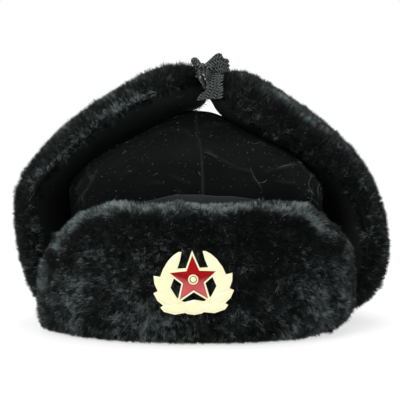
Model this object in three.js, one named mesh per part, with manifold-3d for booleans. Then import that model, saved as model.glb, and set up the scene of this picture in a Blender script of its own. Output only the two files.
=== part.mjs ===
// A fur-trimmed winter hat whose ear flaps are folded up and tied over the crown with a tape bow.
// Millimetres, +Z up. The front faces -Y, +X is the right of somebody looking at the front.
// The hat stands on the fur of its front and neck flaps, and the origin is under its middle.
import * as THREE from "three";
import { mergeVertices } from "three/addons/utils/BufferGeometryUtils.js";
import Module from "manifold-3d";

const wasm = await Module();
wasm.setup();

// Driving dimensions
const clothWall = 3; // padded velour of the crown
const clothFace = 2.4; // velour face of a flap, before it swells towards the crown
const sewnGap = 0.4; // between the pieces that are sewn or pinned together
const furLip = 5; // fur that rolls round the edge of a flap's cloth face
const tuftHeight = 2.2; // relief of the fur's locks
const tuftLean = 2.2; // how far the tip of a lock leans from its root
const tuftPitch = 8; // from one lock to the next
const crownRings = 12;
const crownSteps = 10; // facets between two seams of the crown
const seamDepth = 1.6;
const seamTurn = THREE.MathUtils.degToRad(1.5);
const rimLift = 9; // the rim rises over the ears
const hemDepth = 2;
const hemGap = 1.8; // from the hem to where the flaps stand
const flapSeat = { halfWidth: 92, halfDepth: 109 }; // where the front and neck flaps stand
const tapeWidth = 16;
const tapeThick = 1.3;

const paint = (color, roughness, metalness = 0) =>
  new THREE.MeshStandardMaterial({ color, roughness, metalness });
const velour = paint(0x0d1010, 0.95);
const fur = paint(0x161c1e, 0.8);
const webbing = paint(0x24292a, 0.85);
const gilt = paint(0xe8d89a, 0.3, 1);
const enamel = paint(0xb3101c, 0.15);

const hat = new THREE.Group();

function addPiece(name, geometry, material, parent = hat) {
  geometry.computeVertexNormals();
  const mesh = new THREE.Mesh(geometry, material);
  mesh.name = name;
  parent.add(mesh);
  return mesh;
}

// Helpers for tables, skins and solids

// The columns of a table at a place between its rows, each on one smooth curve
function between(rows, place) {
  const last = rows.length - 1;
  const start = Math.min(Math.floor(place), last - 1);
  const f = place - start;
  const row = (k) => rows[THREE.MathUtils.clamp(k, 0, last)];
  const value = {};
  for (const key of Object.keys(rows[0])) {
    const [a, b, c, d] = [-1, 0, 1, 2].map((k) => row(start + k)[key]);
    const bend = (2 * a - 5 * b + 4 * c - d) * f * f + (3 * b - a - 3 * c + d) * f ** 3;
    value[key] = b + 0.5 * ((c - a) * f + bend);
  }
  return value;
}

function steps(rows, count) {
  return Array.from({ length: count }, (_, i) => between(rows, (i / (count - 1)) * (rows.length - 1)));
}

// Triangles that fill a nearly flat ring, as numbers of its points
function fill(ring) {
  const normal = new THREE.Vector3();
  ring.forEach((p, k) => normal.add(p.clone().cross(ring[(k + 1) % ring.length])));
  const flat = new THREE.Quaternion().setFromUnitVectors(normal.normalize(), new THREE.Vector3(0, 0, 1));
  const outline = ring.map((p) => p.clone().applyQuaternion(flat)).map((p) => new THREE.Vector2(p.x, p.y));
  return THREE.ShapeUtils.triangulateShape(outline, []);
}

// A closed skin over rings of points, filled at its two ends. Over its first points every second
// one is the tip of a lock, and the folds between the facets keep clear of the tips.
function skin(rings, tufted = 0) {
  const count = rings[0].length;
  const faces = [];
  for (let r = 0; r < rings.length - 1; r++) {
    for (let k = 0; k < count; k++) {
      const a = r * count + k;
      const b = r * count + ((k + 1) % count);
      const onTip = k < tufted && (r + k) % 2 === 0;
      if (onTip) faces.push(a, b, a + count, b, b + count, a + count);
      else faces.push(a, b, b + count, a, b + count, a + count);
    }
  }
  const last = (rings.length - 1) * count;
  fill(rings[0]).forEach(([a, b, c]) => faces.push(c, b, a));
  fill(rings.at(-1)).forEach(([a, b, c]) => faces.push(last + a, last + b, last + c));
  const geometry = new THREE.BufferGeometry().setFromPoints(rings.flat()).setIndex(faces);
  if (toSolid(geometry).volume() < 0) {
    for (let i = 0; i < faces.length; i += 3) [faces[i], faces[i + 1]] = [faces[i + 1], faces[i]];
    geometry.setIndex(faces);
  }
  return geometry;
}

function toSolid(geometry) {
  const bare = geometry.clone();
  bare.deleteAttribute("normal");
  bare.deleteAttribute("uv");
  const merged = mergeVertices(bare, 1e-4);
  return new wasm.Manifold(
    new wasm.Mesh({
      numProp: 3,
      vertProperties: new Float32Array(merged.attributes.position.array),
      triVerts: new Uint32Array(merged.index.array),
    }),
  );
}

function toGeometry(solid) {
  const mesh = solid.getMesh();
  return new THREE.BufferGeometry()
    .setAttribute("position", new THREE.BufferAttribute(mesh.vertProperties, 3))
    .setIndex(new THREE.BufferAttribute(mesh.triVerts, 1));
}

function block(low, high) {
  const [from, to] = [new THREE.Vector3(...low), new THREE.Vector3(...high)];
  const size = to.clone().sub(from);
  const middle = from.add(to).multiplyScalar(0.5);
  return toSolid(new THREE.BoxGeometry(size.x, size.y, size.z).translate(middle.x, middle.y, middle.z));
}

// How far a rounded oval's edge is from its middle, in the direction of a turn from +X
function polar(turn, halfWidth, halfDepth, power = 2.3) {
  const [c, s] = [Math.abs(Math.cos(turn)), Math.abs(Math.sin(turn))];
  return ((c / halfWidth) ** power + (s / halfDepth) ** power) ** (-1 / power);
}

// A steady number from 0 to 1 for each lock of fur
const chance = (i, k) => {
  const n = Math.sin(i * 12.9898 + k * 78.233) * 43758.5453;
  return n - Math.floor(n);
};

// Crown: one padded velour shell, open below, with four seams that meet at the top
const crownTable = [
  { height: 3, halfWidth: 86, halfDepth: 103, shift: 0, power: 2.25 },
  { height: 30, halfWidth: 87.5, halfDepth: 105, shift: 0, power: 2.25 },
  { height: 60, halfWidth: 88, halfDepth: 105.5, shift: 0, power: 2.3 },
  { height: 84, halfWidth: 87.5, halfDepth: 104, shift: -0.5, power: 2.35 },
  { height: 97, halfWidth: 85.5, halfDepth: 99, shift: -0.5, power: 2.35 },
  { height: 108, halfWidth: 76, halfDepth: 89, shift: -0.5, power: 2.3 },
  { height: 118, halfWidth: 61.5, halfDepth: 75, shift: -1, power: 2.2 },
  { height: 128, halfWidth: 42, halfDepth: 56, shift: -1.6, power: 2.1 },
  { height: 137, halfWidth: 24, halfDepth: 36, shift: -2.2, power: 2 },
  { height: 142.4, halfWidth: 11.5, halfDepth: 19, shift: -2.6, power: 2 },
  { height: 144, halfWidth: 3, halfDepth: 5, shift: -2.6, power: 2 },
];
// Dents and puffs of the cloth: where they lie, how far they spread and how far they stand out
const crownFolds = [
  { turn: -3, height: 104.5, across: 44, along: 6, rise: -5.5 },
  { turn: -3, height: 80, across: 44, along: 9, rise: -3 },
  { turn: -24, height: 72, across: 8, along: 22, rise: -3 },
  { turn: 193, height: 92, across: 16, along: 12, rise: 2.6 },
  { turn: 207, height: 74, across: 8, along: 24, rise: -3 },
  { turn: -56, height: 97, across: 28, along: 8, rise: 1.8 },
  { turn: -124, height: 104, across: 30, along: 9, rise: 1.8 },
  { turn: -76, height: 124, across: 14, along: 10, rise: -1.8 },
  { turn: -104, height: 121, across: 14, along: 10, rise: 1.4 },
  { turn: 60, height: 112, across: 26, along: 12, rise: 1.6 },
  { turn: 120, height: 106, across: 26, along: 12, rise: -1.6 },
];

function crownTurns() {
  const turns = [];
  for (let seam = 0; seam < 4; seam++) {
    const start = (seam * Math.PI) / 2;
    turns.push(start);
    for (let i = 0; i <= crownSteps; i++) {
      turns.push(start + seamTurn + ((Math.PI / 2 - 2 * seamTurn) * i) / crownSteps);
    }
  }
  return turns;
}

function foldRise(turn, radius, height) {
  return crownFolds.reduce((sum, fold) => {
    const away = Math.atan2(
      Math.sin(turn - THREE.MathUtils.degToRad(fold.turn)),
      Math.cos(turn - THREE.MathUtils.degToRad(fold.turn)),
    );
    const [u, v] = [(away * radius) / fold.across, (height - fold.height) / fold.along];
    return sum + fold.rise * Math.exp(-u * u - v * v);
  }, 0);
}

function crownRing(place, inward) {
  const row = between(crownTable, place);
  const ahead = between(crownTable, Math.min(place + 0.1, crownTable.length - 1));
  const behind = between(crownTable, Math.max(place - 0.1, 0));
  const lean = new THREE.Vector2(ahead.height - behind.height, behind.halfWidth - ahead.halfWidth);
  lean.normalize();
  const halfWidth = Math.max(row.halfWidth - inward * lean.x, 2);
  const halfDepth = Math.max(row.halfDepth - inward * lean.x, 2);
  return crownTurns().map((turn, i) => {
    const [c, s] = [Math.cos(turn), Math.sin(turn)];
    let radius = polar(turn, halfWidth, halfDepth, row.power);
    const onSeam = i % (crownSteps + 2) === 0;
    if (!inward && onSeam) radius -= Math.min(seamDepth, radius / 8);
    radius += foldRise(turn, radius, row.height) * Math.min(1, radius / 40);
    const overEar = rimLift * c * c * Math.max(0, 1 - place / 3);
    const height = row.height - inward * lean.y + overEar;
    return new THREE.Vector3(radius * c + row.shift, radius * s, height);
  });
}

// The rolled hem round the rim, which carries the flaps
function hemRing(halfWidth, halfDepth, drop) {
  return crownTurns().map((turn) => {
    const [c, s] = [Math.cos(turn), Math.sin(turn)];
    const radius = polar(turn, halfWidth, halfDepth);
    return new THREE.Vector3(radius * c, radius * s, crownTable[0].height - drop + rimLift * c * c);
  });
}

function addCrown() {
  const rowsEach = (crownTable.length - 1) / (crownRings - 1);
  const places = Array.from({ length: crownRings }, (_, i) => i * rowsEach);
  const outside = places.map((place) => crownRing(place, 0));
  const inside = places.map((place) => crownRing(place, clothWall)).reverse();
  const [wide, deep] = [flapSeat.halfWidth - hemGap, flapSeat.halfDepth - hemGap];
  const hem = [
    hemRing(wide - 5, deep - 5, hemDepth),
    hemRing(wide, deep, hemDepth),
    hemRing(wide - 0.6, deep - 0.6, 0.2),
  ];
  addPiece("crown", skin([...inside, ...hem, ...outside]), velour);
}

// Flaps: each is a cloth face with fur on its outer side. A row gives the two edges of the cloth
// face, the front or lower one (near) and the back or upper one (far), how thick the fur stands on
// it, and how far the padded face swells towards the crown.
const hatMiddle = new THREE.Vector3(0, 0, 60);

function frames(rows, count) {
  const places = steps(rows, count).map((row) => ({
    near: new THREE.Vector3(row.nearX, row.nearY, row.nearZ),
    far: new THREE.Vector3(row.farX, row.farY, row.farZ),
    thick: row.thick,
    puff: row.puff,
  }));
  places.forEach((p) => (p.middle = p.near.clone().lerp(p.far, 0.5)));
  return places.map((p, i) => {
    const along = places[Math.min(i + 1, count - 1)].middle.clone().sub(places[Math.max(i - 1, 0)].middle);
    const across = p.near.clone().sub(p.far);
    const half = across.length() / 2;
    across.normalize();
    const out = along.cross(across).normalize();
    if (out.dot(p.middle.clone().sub(hatMiddle)) < 0) out.negate();
    return { middle: p.middle, across, out, half, thick: p.thick, puff: p.puff };
  });
}

const place = (frame, u, n) =>
  frame.middle.clone().addScaledVector(frame.across, u).addScaledVector(frame.out, n);

// The outline of the fur across a flap: a soft hump from lip to lip, with steps of about one lock
function furHump(half, thick, count) {
  const squareness = 0.44;
  const foot = clothFace / 4;
  const sides = 24;
  const points = Array.from({ length: sides + 1 }, (_, k) => {
    const turn = (Math.PI * k) / sides;
    const c = Math.cos(turn);
    return new THREE.Vector2(
      (half + furLip) * Math.sign(c) * Math.abs(c) ** squareness,
      foot + (thick - foot) * Math.sin(turn) ** squareness,
    );
  });
  return new THREE.SplineCurve(points).getSpacedPoints(count);
}

function furRing(frame, station, count, atEnd) {
  const along = frame.across.clone().cross(frame.out);
  const hump = furHump(frame.half, frame.thick, count).map((p, k) => {
    const onEdge = atEnd || k === 0 || k === count;
    const isTip = (station + k) % 2 === 0;
    const relief = tuftHeight * Math.min(1, frame.thick / 14) * (onEdge ? 0 : 1);
    const rise = relief * (isTip ? 0.7 + 0.6 * chance(station, k) : -0.5);
    const turn = 2 * Math.PI * chance(k, station);
    const lean = isTip && !onEdge ? (tuftLean * relief) / tuftHeight : 0;
    const outward = p.clone().normalize().multiplyScalar(rise);
    return place(frame, p.x + outward.x + lean * Math.cos(turn), p.y + outward.y).addScaledVector(
      along,
      lean * Math.sin(turn),
    );
  });
  const [edge, seat] = [frame.half + sewnGap, clothFace + sewnGap];
  const lip = clothFace * 0.2;
  const recess = [
    [-edge, lip],
    [-edge, seat],
    [0, seat],
    [edge, seat],
    [edge, lip],
  ];
  return [...hump, ...recess.map(([u, n]) => place(frame, u, n))];
}

// The cloth face, with a welt that can stand up behind the fur on its far edge
function clothRing(frame, welt) {
  const half = frame.half;
  const outside = [-half, 0, half].map((u) => place(frame, u, clothFace));
  const inside = [1, 0.5, 0, -0.5].map((u) => place(frame, u * half, -frame.puff * (1 - u * u)));
  const edge = [
    [-half, -frame.puff * 0.3],
    [-half - welt, -0.9],
    [-half - welt, -0.1],
    [-half, 0.1],
  ];
  const far = welt ? edge : [[-half, 0]];
  return [...outside, ...inside, ...far.map(([u, n]) => place(frame, u, n))];
}

function addFlap(name, rows, length, span, { welt = 0, trims = [] } = {}) {
  const stations = Math.round(length / tuftPitch);
  const count = Math.round(span / tuftPitch);
  const places = frames(rows, stations);
  const rings = places.map((frame, i) => furRing(frame, i, count, i === 0 || i === stations - 1));
  let pile = toSolid(skin(rings, count));
  let face = toSolid(skin(places.map((frame) => clothRing(frame, welt))));
  trims.forEach((trim) => {
    pile = pile.subtract(trim);
    face = face.subtract(trim);
  });
  addPiece(`${name}_fur`, toGeometry(pile), fur);
  addPiece(`${name}_face`, toGeometry(face), velour);
}

// Rows for a flap that stands round the crown: turn 0 is the middle, and low and high are its edges
function standingRows(table, side) {
  return table.map((row) => {
    const turn = THREE.MathUtils.degToRad(row.turn);
    const [x, y] = [Math.sin(turn), Math.cos(turn) * side];
    const radius = polar(Math.PI / 2 - turn, flapSeat.halfWidth, flapSeat.halfDepth);
    return {
      nearX: radius * x,
      nearY: radius * y,
      nearZ: row.low,
      farX: (radius + row.lean) * x,
      farY: (radius + row.lean) * y,
      farZ: row.high,
      thick: row.thick,
      puff: 1.8,
    };
  });
}

const frontTable = [
  { turn: -65, low: 7, high: 21, lean: 0, thick: 10 },
  { turn: -62, low: 4, high: 31, lean: 0, thick: 20.5 },
  { turn: -57, low: 3, high: 45, lean: 0, thick: 23.5 },
  { turn: -50, low: 2.6, high: 58.5, lean: 0, thick: 23.5 },
  { turn: -42, low: 2.6, high: 70, lean: 0, thick: 22.5 },
  { turn: -33, low: 2.6, high: 80, lean: 0, thick: 22 },
  { turn: -22, low: 2.6, high: 85, lean: 0, thick: 22 },
  { turn: -10, low: 2.6, high: 84, lean: 0, thick: 22 },
  { turn: 4, low: 2.6, high: 82.5, lean: 0, thick: 22 },
  { turn: 18, low: 2.8, high: 83, lean: 0, thick: 22 },
  { turn: 31, low: 4, high: 82.5, lean: 0, thick: 22 },
  { turn: 40, low: 6.5, high: 72.5, lean: 0, thick: 22 },
  { turn: 48, low: 8.5, high: 63, lean: 0, thick: 21.5 },
  { turn: 55, low: 11, high: 55, lean: 0, thick: 20 },
  { turn: 60, low: 13.5, high: 40, lean: 0, thick: 17 },
  { turn: 63.5, low: 16.5, high: 25, lean: 0, thick: 8 },
];
const neckTable = [
  { turn: -52, low: 16, high: 62, lean: 2, thick: 9 },
  { turn: -49, low: 11, high: 74, lean: 2, thick: 17 },
  { turn: -40, low: 7, high: 84, lean: 1, thick: 19 },
  { turn: -25, low: 4.5, high: 89, lean: 0, thick: 20 },
  { turn: 0, low: 4, high: 91, lean: 0, thick: 20.5 },
  { turn: 25, low: 4.5, high: 88, lean: 0, thick: 20 },
  { turn: 40, low: 7, high: 83, lean: 1, thick: 19 },
  { turn: 49, low: 11, high: 73, lean: 2, thick: 17 },
  { turn: 52, low: 16, high: 61, lean: 2, thick: 9 },
];
// Ear flaps, from the fold under the ear up the side and over the crown to the tip
const rightEarTable = [
  { nearX: 98, nearY: -35, nearZ: 16, farX: 84, farY: 50, farZ: 16, thick: 9, puff: 1 },
  { nearX: 103, nearY: -36, nearZ: 22, farX: 85, farY: 54, farZ: 21, thick: 18, puff: 1.4 },
  { nearX: 108, nearY: -37, nearZ: 37, farX: 86, farY: 56, farZ: 37, thick: 23.5, puff: 1.8 },
  { nearX: 109.5, nearY: -38, nearZ: 54, farX: 87, farY: 56, farZ: 54, thick: 23.5, puff: 1.8 },
  { nearX: 107.5, nearY: -38, nearZ: 71, farX: 88, farY: 55, farZ: 74, thick: 23, puff: 1.8 },
  { nearX: 101, nearY: -37, nearZ: 87, farX: 86, farY: 53, farZ: 92, thick: 22.8, puff: 3.4 },
  { nearX: 88, nearY: -36, nearZ: 101, farX: 80, farY: 50, farZ: 107, thick: 25, puff: 5.6 },
  { nearX: 70, nearY: -36, nearZ: 114, farX: 70, farY: 46, farZ: 122, thick: 25.5, puff: 4.1 },
  { nearX: 49, nearY: -35, nearZ: 125.5, farX: 52, farY: 42, farZ: 134, thick: 26.5, puff: 5.1 },
  { nearX: 33, nearY: -34, nearZ: 136, farX: 34, farY: 37, farZ: 145, thick: 27, puff: 8.2 },
  { nearX: 19, nearY: -32, nearZ: 147.5, farX: 18, farY: 31, farZ: 152.5, thick: 25, puff: 8.6 },
  { nearX: 10, nearY: -27, nearZ: 154.5, farX: 9.5, farY: 26, farZ: 156, thick: 18, puff: 4.4 },
  { nearX: 5.4, nearY: -22, nearZ: 156, farX: 6, farY: 21, farZ: 157.5, thick: 9, puff: 2 },
];
const leftEarTable = [
  { nearX: -97, nearY: -35, nearZ: 15, farX: -84, farY: 50, farZ: 15, thick: 9, puff: 1 },
  { nearX: -100, nearY: -36, nearZ: 22, farX: -85, farY: 54, farZ: 21, thick: 16.5, puff: 1.4 },
  { nearX: -103, nearY: -37, nearZ: 38, farX: -86, farY: 56, farZ: 37, thick: 20.5, puff: 1.8 },
  { nearX: -107, nearY: -38, nearZ: 57, farX: -86.5, farY: 56, farZ: 54, thick: 21, puff: 1.8 },
  { nearX: -110, nearY: -38, nearZ: 74, farX: -87, farY: 55, farZ: 73, thick: 20, puff: 1.8 },
  { nearX: -109, nearY: -38, nearZ: 89, farX: -85, farY: 53, farZ: 91, thick: 19.5, puff: 1.8 },
  { nearX: -98, nearY: -37, nearZ: 103, farX: -77, farY: 50, farZ: 105, thick: 20.5, puff: 1.8 },
  { nearX: -82, nearY: -36, nearZ: 118, farX: -64, farY: 46, farZ: 117, thick: 22, puff: 1.8 },
  { nearX: -65, nearY: -35, nearZ: 132, farX: -49, farY: 42, farZ: 126, thick: 21.5, puff: 3 },
  { nearX: -46, nearY: -34, nearZ: 144.5, farX: -34, farY: 38, farZ: 133.2, thick: 21.5, puff: 4.2 },
  { nearX: -26, nearY: -33, nearZ: 154, farX: -20, farY: 34, farZ: 140.4, thick: 23, puff: 5 },
  { nearX: -9, nearY: -29, nearZ: 161, farX: -7, farY: 28, farZ: 147, thick: 19.6, puff: 3.4 },
  { nearX: 0.4, nearY: -24, nearZ: 163, farX: -1.2, farY: 21, farZ: 151, thick: 14, puff: 1.6 },
];

// Badge: a stamped gilt wreath round a star, with red enamel in the star and a post behind
const badgeAt = new THREE.Vector3(-3.9, -129.8, 40.8); // middle of the star, on the badge's back
const badgeTilt = THREE.MathUtils.degToRad(2.3); // it was pinned on a little askew
const badgePlate = 1.2;
const starRim = 0.9; // how far the star's gilt rim stands on the plate
const starTips = { outer: 17.6, inner: 7.6 };
const enamelInset = 1.15;
const enamelGap = 0.15;
const tipStretch = 2.6; // how many times as much a star's tip draws back as its sides
const studRadius = 3.1;
const postRadius = 1.5;
const postLength = 17;
// One half of the wreath, from the bow below, round the leaf tips, to the upper tip, and back inside
const wreathHalf = [
  { u: 0, v: -21.4 },
  { u: 4.6, v: -20.6 },
  { u: 5.6, v: -19.9 },
  { u: 12, v: -20.8 },
  { u: 18.4, v: -18.8 },
  { u: 20.4, v: -16.2 },
  { u: 18.6, v: -15 },
  { u: 22, v: -12 },
  { u: 24.2, v: -7.4 },
  { u: 21.6, v: -6.2 },
  { u: 23.4, v: -1.6 },
  { u: 23.7, v: 3.1 },
  { u: 19.8, v: 2.3 },
  { u: 17.9, v: 6.8 },
  { u: 14.5, v: 11.9 },
  { u: 11.2, v: 15 },
  { u: 8.2, v: 16.8 },
  { u: 6.3, v: 16.8 },
  { u: 7.4, v: 12 },
  { u: 9.2, v: 6.9 },
  { u: 2, v: 6.9 },
  { u: 2, v: 1.5 },
  { u: 11.6, v: 1 },
  { u: 13.8, v: -4.5 },
  { u: 10.3, v: -10.6 },
  { u: 6, v: -13.4 },
  { u: 0, v: -12.2 },
];

function starPoints(outer, inner) {
  return Array.from({ length: 10 }, (_, i) => {
    const [turn, reach] = [Math.PI / 2 + (i * Math.PI) / 5, i % 2 ? inner : outer];
    return new THREE.Vector2(reach * Math.cos(turn), reach * Math.sin(turn));
  });
}

// A flat outline raised towards the front of the hat
function raised(outline, from, thick, holes = []) {
  const shape = new THREE.Shape(outline);
  shape.holes.push(...holes.map((hole) => new THREE.Path(hole)));
  return new THREE.ExtrudeGeometry(shape, { depth: thick, bevelEnabled: false })
    .translate(0, 0, from)
    .rotateX(Math.PI / 2);
}

function ringPoints(radius, count = 20) {
  return new THREE.EllipseCurve(0, 0, radius, radius).getPoints(count).slice(0, count);
}

function addBadge() {
  const badge = new THREE.Group();
  badge.position.copy(badgeAt);
  badge.rotation.y = -badgeTilt;
  hat.add(badge);
  const right = wreathHalf.map((p) => new THREE.Vector2(p.u, p.v));
  const left = right.slice(1, -1).reverse().map((p) => new THREE.Vector2(-p.x, p.y));
  const wreath = [...right, ...left];
  const star = starPoints(starTips.outer, starTips.inner);
  const inset = starPoints(starTips.outer - enamelInset * tipStretch, starTips.inner - enamelInset);
  const fieldInset = enamelInset + enamelGap;
  const field = starPoints(starTips.outer - fieldInset * tipStretch, starTips.inner - fieldInset);
  const stud = ringPoints(studRadius);
  const post = new THREE.CylinderGeometry(postRadius, postRadius, postLength, 12);
  let metal = toSolid(raised(wreath, 0, badgePlate)).add(toSolid(raised(star, 0, badgePlate)));
  metal = metal.add(toSolid(raised(star, badgePlate / 2, badgePlate / 2 + starRim, [inset])));
  metal = metal.add(toSolid(raised(stud, badgePlate / 2, badgePlate / 2 + starRim)));
  metal = metal.add(toSolid(post.translate(0, postLength / 2 - 0.2, 0)));
  addPiece("badge_wreath_and_star", toGeometry(metal), gilt, badge);
  const hole = ringPoints(studRadius + enamelGap);
  addPiece("badge_enamel", raised(field, badgePlate + 0.1, starRim * 0.6, [hole]), enamel, badge);
}

// Tape: flat webbing, sewn to the tip of each ear flap and tied in a bow
function ribbon(rows, count, width = tapeWidth) {
  const path = steps(rows, count);
  const at = (row) => new THREE.Vector3(row.x, row.y, row.z);
  return skin(
    path.map((row, i) => {
      const along = at(path[Math.min(i + 1, count - 1)]).sub(at(path[Math.max(i - 1, 0)]));
      const across = new THREE.Vector3(row.wideX, row.wideY, row.wideZ).normalize();
      const out = along.cross(across).normalize().multiplyScalar(tapeThick / 2);
      const side = across.multiplyScalar((width * row.spread) / 2);
      const corners = [
        [1, 1],
        [-1, 1],
        [-1, -1],
        [1, -1],
      ];
      return corners.map(([u, n]) => at(row).addScaledVector(side, u).addScaledVector(out, n));
    }),
  );
}

// Bow, in front of the gap between the tips
const knotAt = { x: 2, y: -33, z: 170 };
const knotSize = { x: 5.6, y: 3.6, z: 5.2 };
const rightLoop = [
  { x: 3, y: -33, z: 171, wideX: -0.2, wideY: 0.2, wideZ: 1, spread: 0.38 },
  { x: 6.6, y: -35, z: 173.8, wideX: -0.2, wideY: 0.2, wideZ: 1, spread: 0.62 },
  { x: 12, y: -35.4, z: 176.6, wideX: -0.2, wideY: 0.3, wideZ: 1, spread: 0.8 },
  { x: 18.2, y: -32.6, z: 175.9, wideX: -0.1, wideY: 0.3, wideZ: 1, spread: 0.56 },
  { x: 18, y: -29.6, z: 175.9, wideX: -0.1, wideY: 0.3, wideZ: 1, spread: 0.56 },
  { x: 12, y: -28, z: 176.6, wideX: -0.2, wideY: 0.2, wideZ: 1, spread: 0.76 },
  { x: 6.6, y: -29.5, z: 174, wideX: -0.2, wideY: 0.1, wideZ: 1, spread: 0.6 },
  { x: 2.5, y: -32, z: 171.5, wideX: -0.2, wideY: 0, wideZ: 1, spread: 0.38 },
];
const leftLoop = [
  { x: 1.4, y: -33, z: 171, wideX: 0.2, wideY: 0.9, wideZ: 0.3, spread: 0.35 },
  { x: -1.2, y: -33, z: 175, wideX: 0.2, wideY: 0.9, wideZ: 0.4, spread: 0.5 },
  { x: -3.8, y: -31.6, z: 178.4, wideX: 0.1, wideY: 0.95, wideZ: 0.3, spread: 0.56 },
  { x: -5.6, y: -31.2, z: 177.8, wideX: 0, wideY: 1, wideZ: 0.2, spread: 0.56 },
  { x: -4, y: -32, z: 175.4, wideX: 0.1, wideY: 0.9, wideZ: 0.3, spread: 0.5 },
  { x: 0.6, y: -32.6, z: 171, wideX: 0.2, wideY: 0.9, wideZ: 0.3, spread: 0.35 },
];
const frontEnd = [
  { x: 4, y: -34, z: 171, wideX: 1, wideY: 0, wideZ: -0.2, spread: 0.4 },
  { x: 8, y: -37.6, z: 168.8, wideX: 1, wideY: 0, wideZ: 0, spread: 0.5 },
  { x: 9.8, y: -39.4, z: 164.4, wideX: 1, wideY: 0, wideZ: 0.1, spread: 0.62 },
  { x: 9, y: -40.2, z: 158.8, wideX: 1, wideY: 0.02, wideZ: 0.16, spread: 0.76 },
  { x: 7.4, y: -40.4, z: 154.8, wideX: 1, wideY: 0.04, wideZ: 0.14, spread: 0.96 },
  { x: 6.1, y: -40.3, z: 151.6, wideX: 1, wideY: 0.05, wideZ: 0.1, spread: 1.06 },
];
const smallEnd = [
  { x: 1.8, y: -34.5, z: 171, wideX: 1, wideY: 0.1, wideZ: -0.3, spread: 0.4 },
  { x: 2.8, y: -38, z: 167.6, wideX: 1, wideY: 0.2, wideZ: -0.2, spread: 0.52 },
  { x: 3.2, y: -40.4, z: 163.8, wideX: 1, wideY: 0.2, wideZ: -0.1, spread: 0.46 },
  { x: 3.7, y: -41.4, z: 160.2, wideX: 1, wideY: 0.2, wideZ: 0, spread: 0.3 },
  { x: 4.3, y: -41.3, z: 156.8, wideX: 1, wideY: 0.2, wideZ: 0, spread: 0.12 },
];
// From the tip of each ear flap to the knot, in the gap between the tips
const rightStretch = [
  { x: 3.9, y: -4, z: 160.5, wideX: 0, wideY: 0.15, wideZ: 1, spread: 0.75 },
  { x: 3.8, y: -14, z: 162.4, wideX: 0, wideY: 0.15, wideZ: 1, spread: 0.75 },
  { x: 3.7, y: -21, z: 165.6, wideX: 0, wideY: 0.1, wideZ: 1, spread: 0.6 },
  { x: 3.5, y: -27.4, z: 168.6, wideX: 0, wideY: 0, wideZ: 1, spread: 0.42 },
];
const leftStretch = [
  { x: 1.2, y: -4, z: 160.5, wideX: 0, wideY: 0.15, wideZ: 1, spread: 0.75 },
  { x: 1.4, y: -14, z: 162.4, wideX: 0, wideY: 0.15, wideZ: 1, spread: 0.75 },
  { x: 1.6, y: -21, z: 165.6, wideX: 0, wideY: 0.1, wideZ: 1, spread: 0.6 },
  { x: 1.8, y: -27.4, z: 168.6, wideX: 0, wideY: 0, wideZ: 1, spread: 0.42 },
];

function addTape() {
  addPiece("tie_tape_right", ribbon(rightStretch, 8), webbing);
  addPiece("tie_tape_left", ribbon(leftStretch, 8), webbing);
  const knot = new THREE.SphereGeometry(1, 14, 10)
    .rotateX(Math.PI / 2)
    .scale(knotSize.x, knotSize.y, knotSize.z)
    .translate(knotAt.x, knotAt.y, knotAt.z);
  const bow = [
    [rightLoop, 18],
    [leftLoop, 14],
    [frontEnd, 10],
    [smallEnd, 7],
  ].reduce((solid, [rows, count]) => solid.add(toSolid(ribbon(rows, count))), toSolid(knot));
  addPiece("tie_bow", toGeometry(bow), webbing);
}

const reach = 200; // past the hat on every side
const floor = block([-reach, -reach, -reach], [reach, reach, 0]);
const badgeSeat = block([-31, -150, 16], [24, badgeAt.y + sewnGap, 60]);
const postHole = toSolid(
  new THREE.CylinderGeometry(postRadius + sewnGap, postRadius + sewnGap, postLength + 2, 12).translate(
    badgeAt.x,
    badgeAt.y + postLength / 2,
    badgeAt.z,
  ),
);

addCrown();
addFlap("front_flap", standingRows(frontTable, -1), 300, 120, {
  welt: 8,
  trims: [floor, badgeSeat, postHole],
});
addFlap("neck_flap", standingRows(neckTable, 1), 215, 120, { trims: [floor] });
addFlap("ear_flap_right", rightEarTable, 200, 118);
addFlap("ear_flap_left", leftEarTable, 205, 116);
addTape();
addBadge();

const middle = new THREE.Box3().setFromObject(hat).getCenter(new THREE.Vector3());
hat.position.set(-middle.x, -middle.y, 0);

export default hat;
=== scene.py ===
import math
import bmesh
import bpy
import numpy as np
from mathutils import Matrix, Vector, noise
from mathutils.bvhtree import BVHTree
from mathutils.kdtree import KDTree


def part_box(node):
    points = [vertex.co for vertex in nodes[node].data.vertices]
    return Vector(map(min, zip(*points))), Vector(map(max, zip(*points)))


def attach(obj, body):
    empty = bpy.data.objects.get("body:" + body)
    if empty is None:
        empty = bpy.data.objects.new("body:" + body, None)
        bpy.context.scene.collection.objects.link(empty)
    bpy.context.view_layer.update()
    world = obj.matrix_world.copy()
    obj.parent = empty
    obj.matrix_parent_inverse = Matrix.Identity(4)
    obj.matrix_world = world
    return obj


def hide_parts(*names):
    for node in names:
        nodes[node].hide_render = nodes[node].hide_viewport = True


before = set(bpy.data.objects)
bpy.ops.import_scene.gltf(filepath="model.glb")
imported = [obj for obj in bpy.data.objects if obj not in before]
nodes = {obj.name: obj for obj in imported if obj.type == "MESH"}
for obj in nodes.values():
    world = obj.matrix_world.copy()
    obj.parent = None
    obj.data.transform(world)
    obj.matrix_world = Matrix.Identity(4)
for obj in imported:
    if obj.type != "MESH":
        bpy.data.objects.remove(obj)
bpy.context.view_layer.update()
noise.seed_set(5)  # noise_vector takes its offsets from this
mm = 0.001
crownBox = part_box("crown")
hatShift = np.array([(crownBox[0][k] + crownBox[1][k]) / 2 for k in (0, 1)] + [0])  # middle of the crown
print("frame loaded,", len(nodes), "nodes")


# Small helpers for numbers
def unit(rows):  # each row's direction
    return rows / np.maximum(np.linalg.norm(rows, axis=1), 1e-9)[:, None]


def bell(values, width, power=2):  # 1 in the middle, falling off at the width
    return np.exp(-((values / width) ** power))


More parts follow.
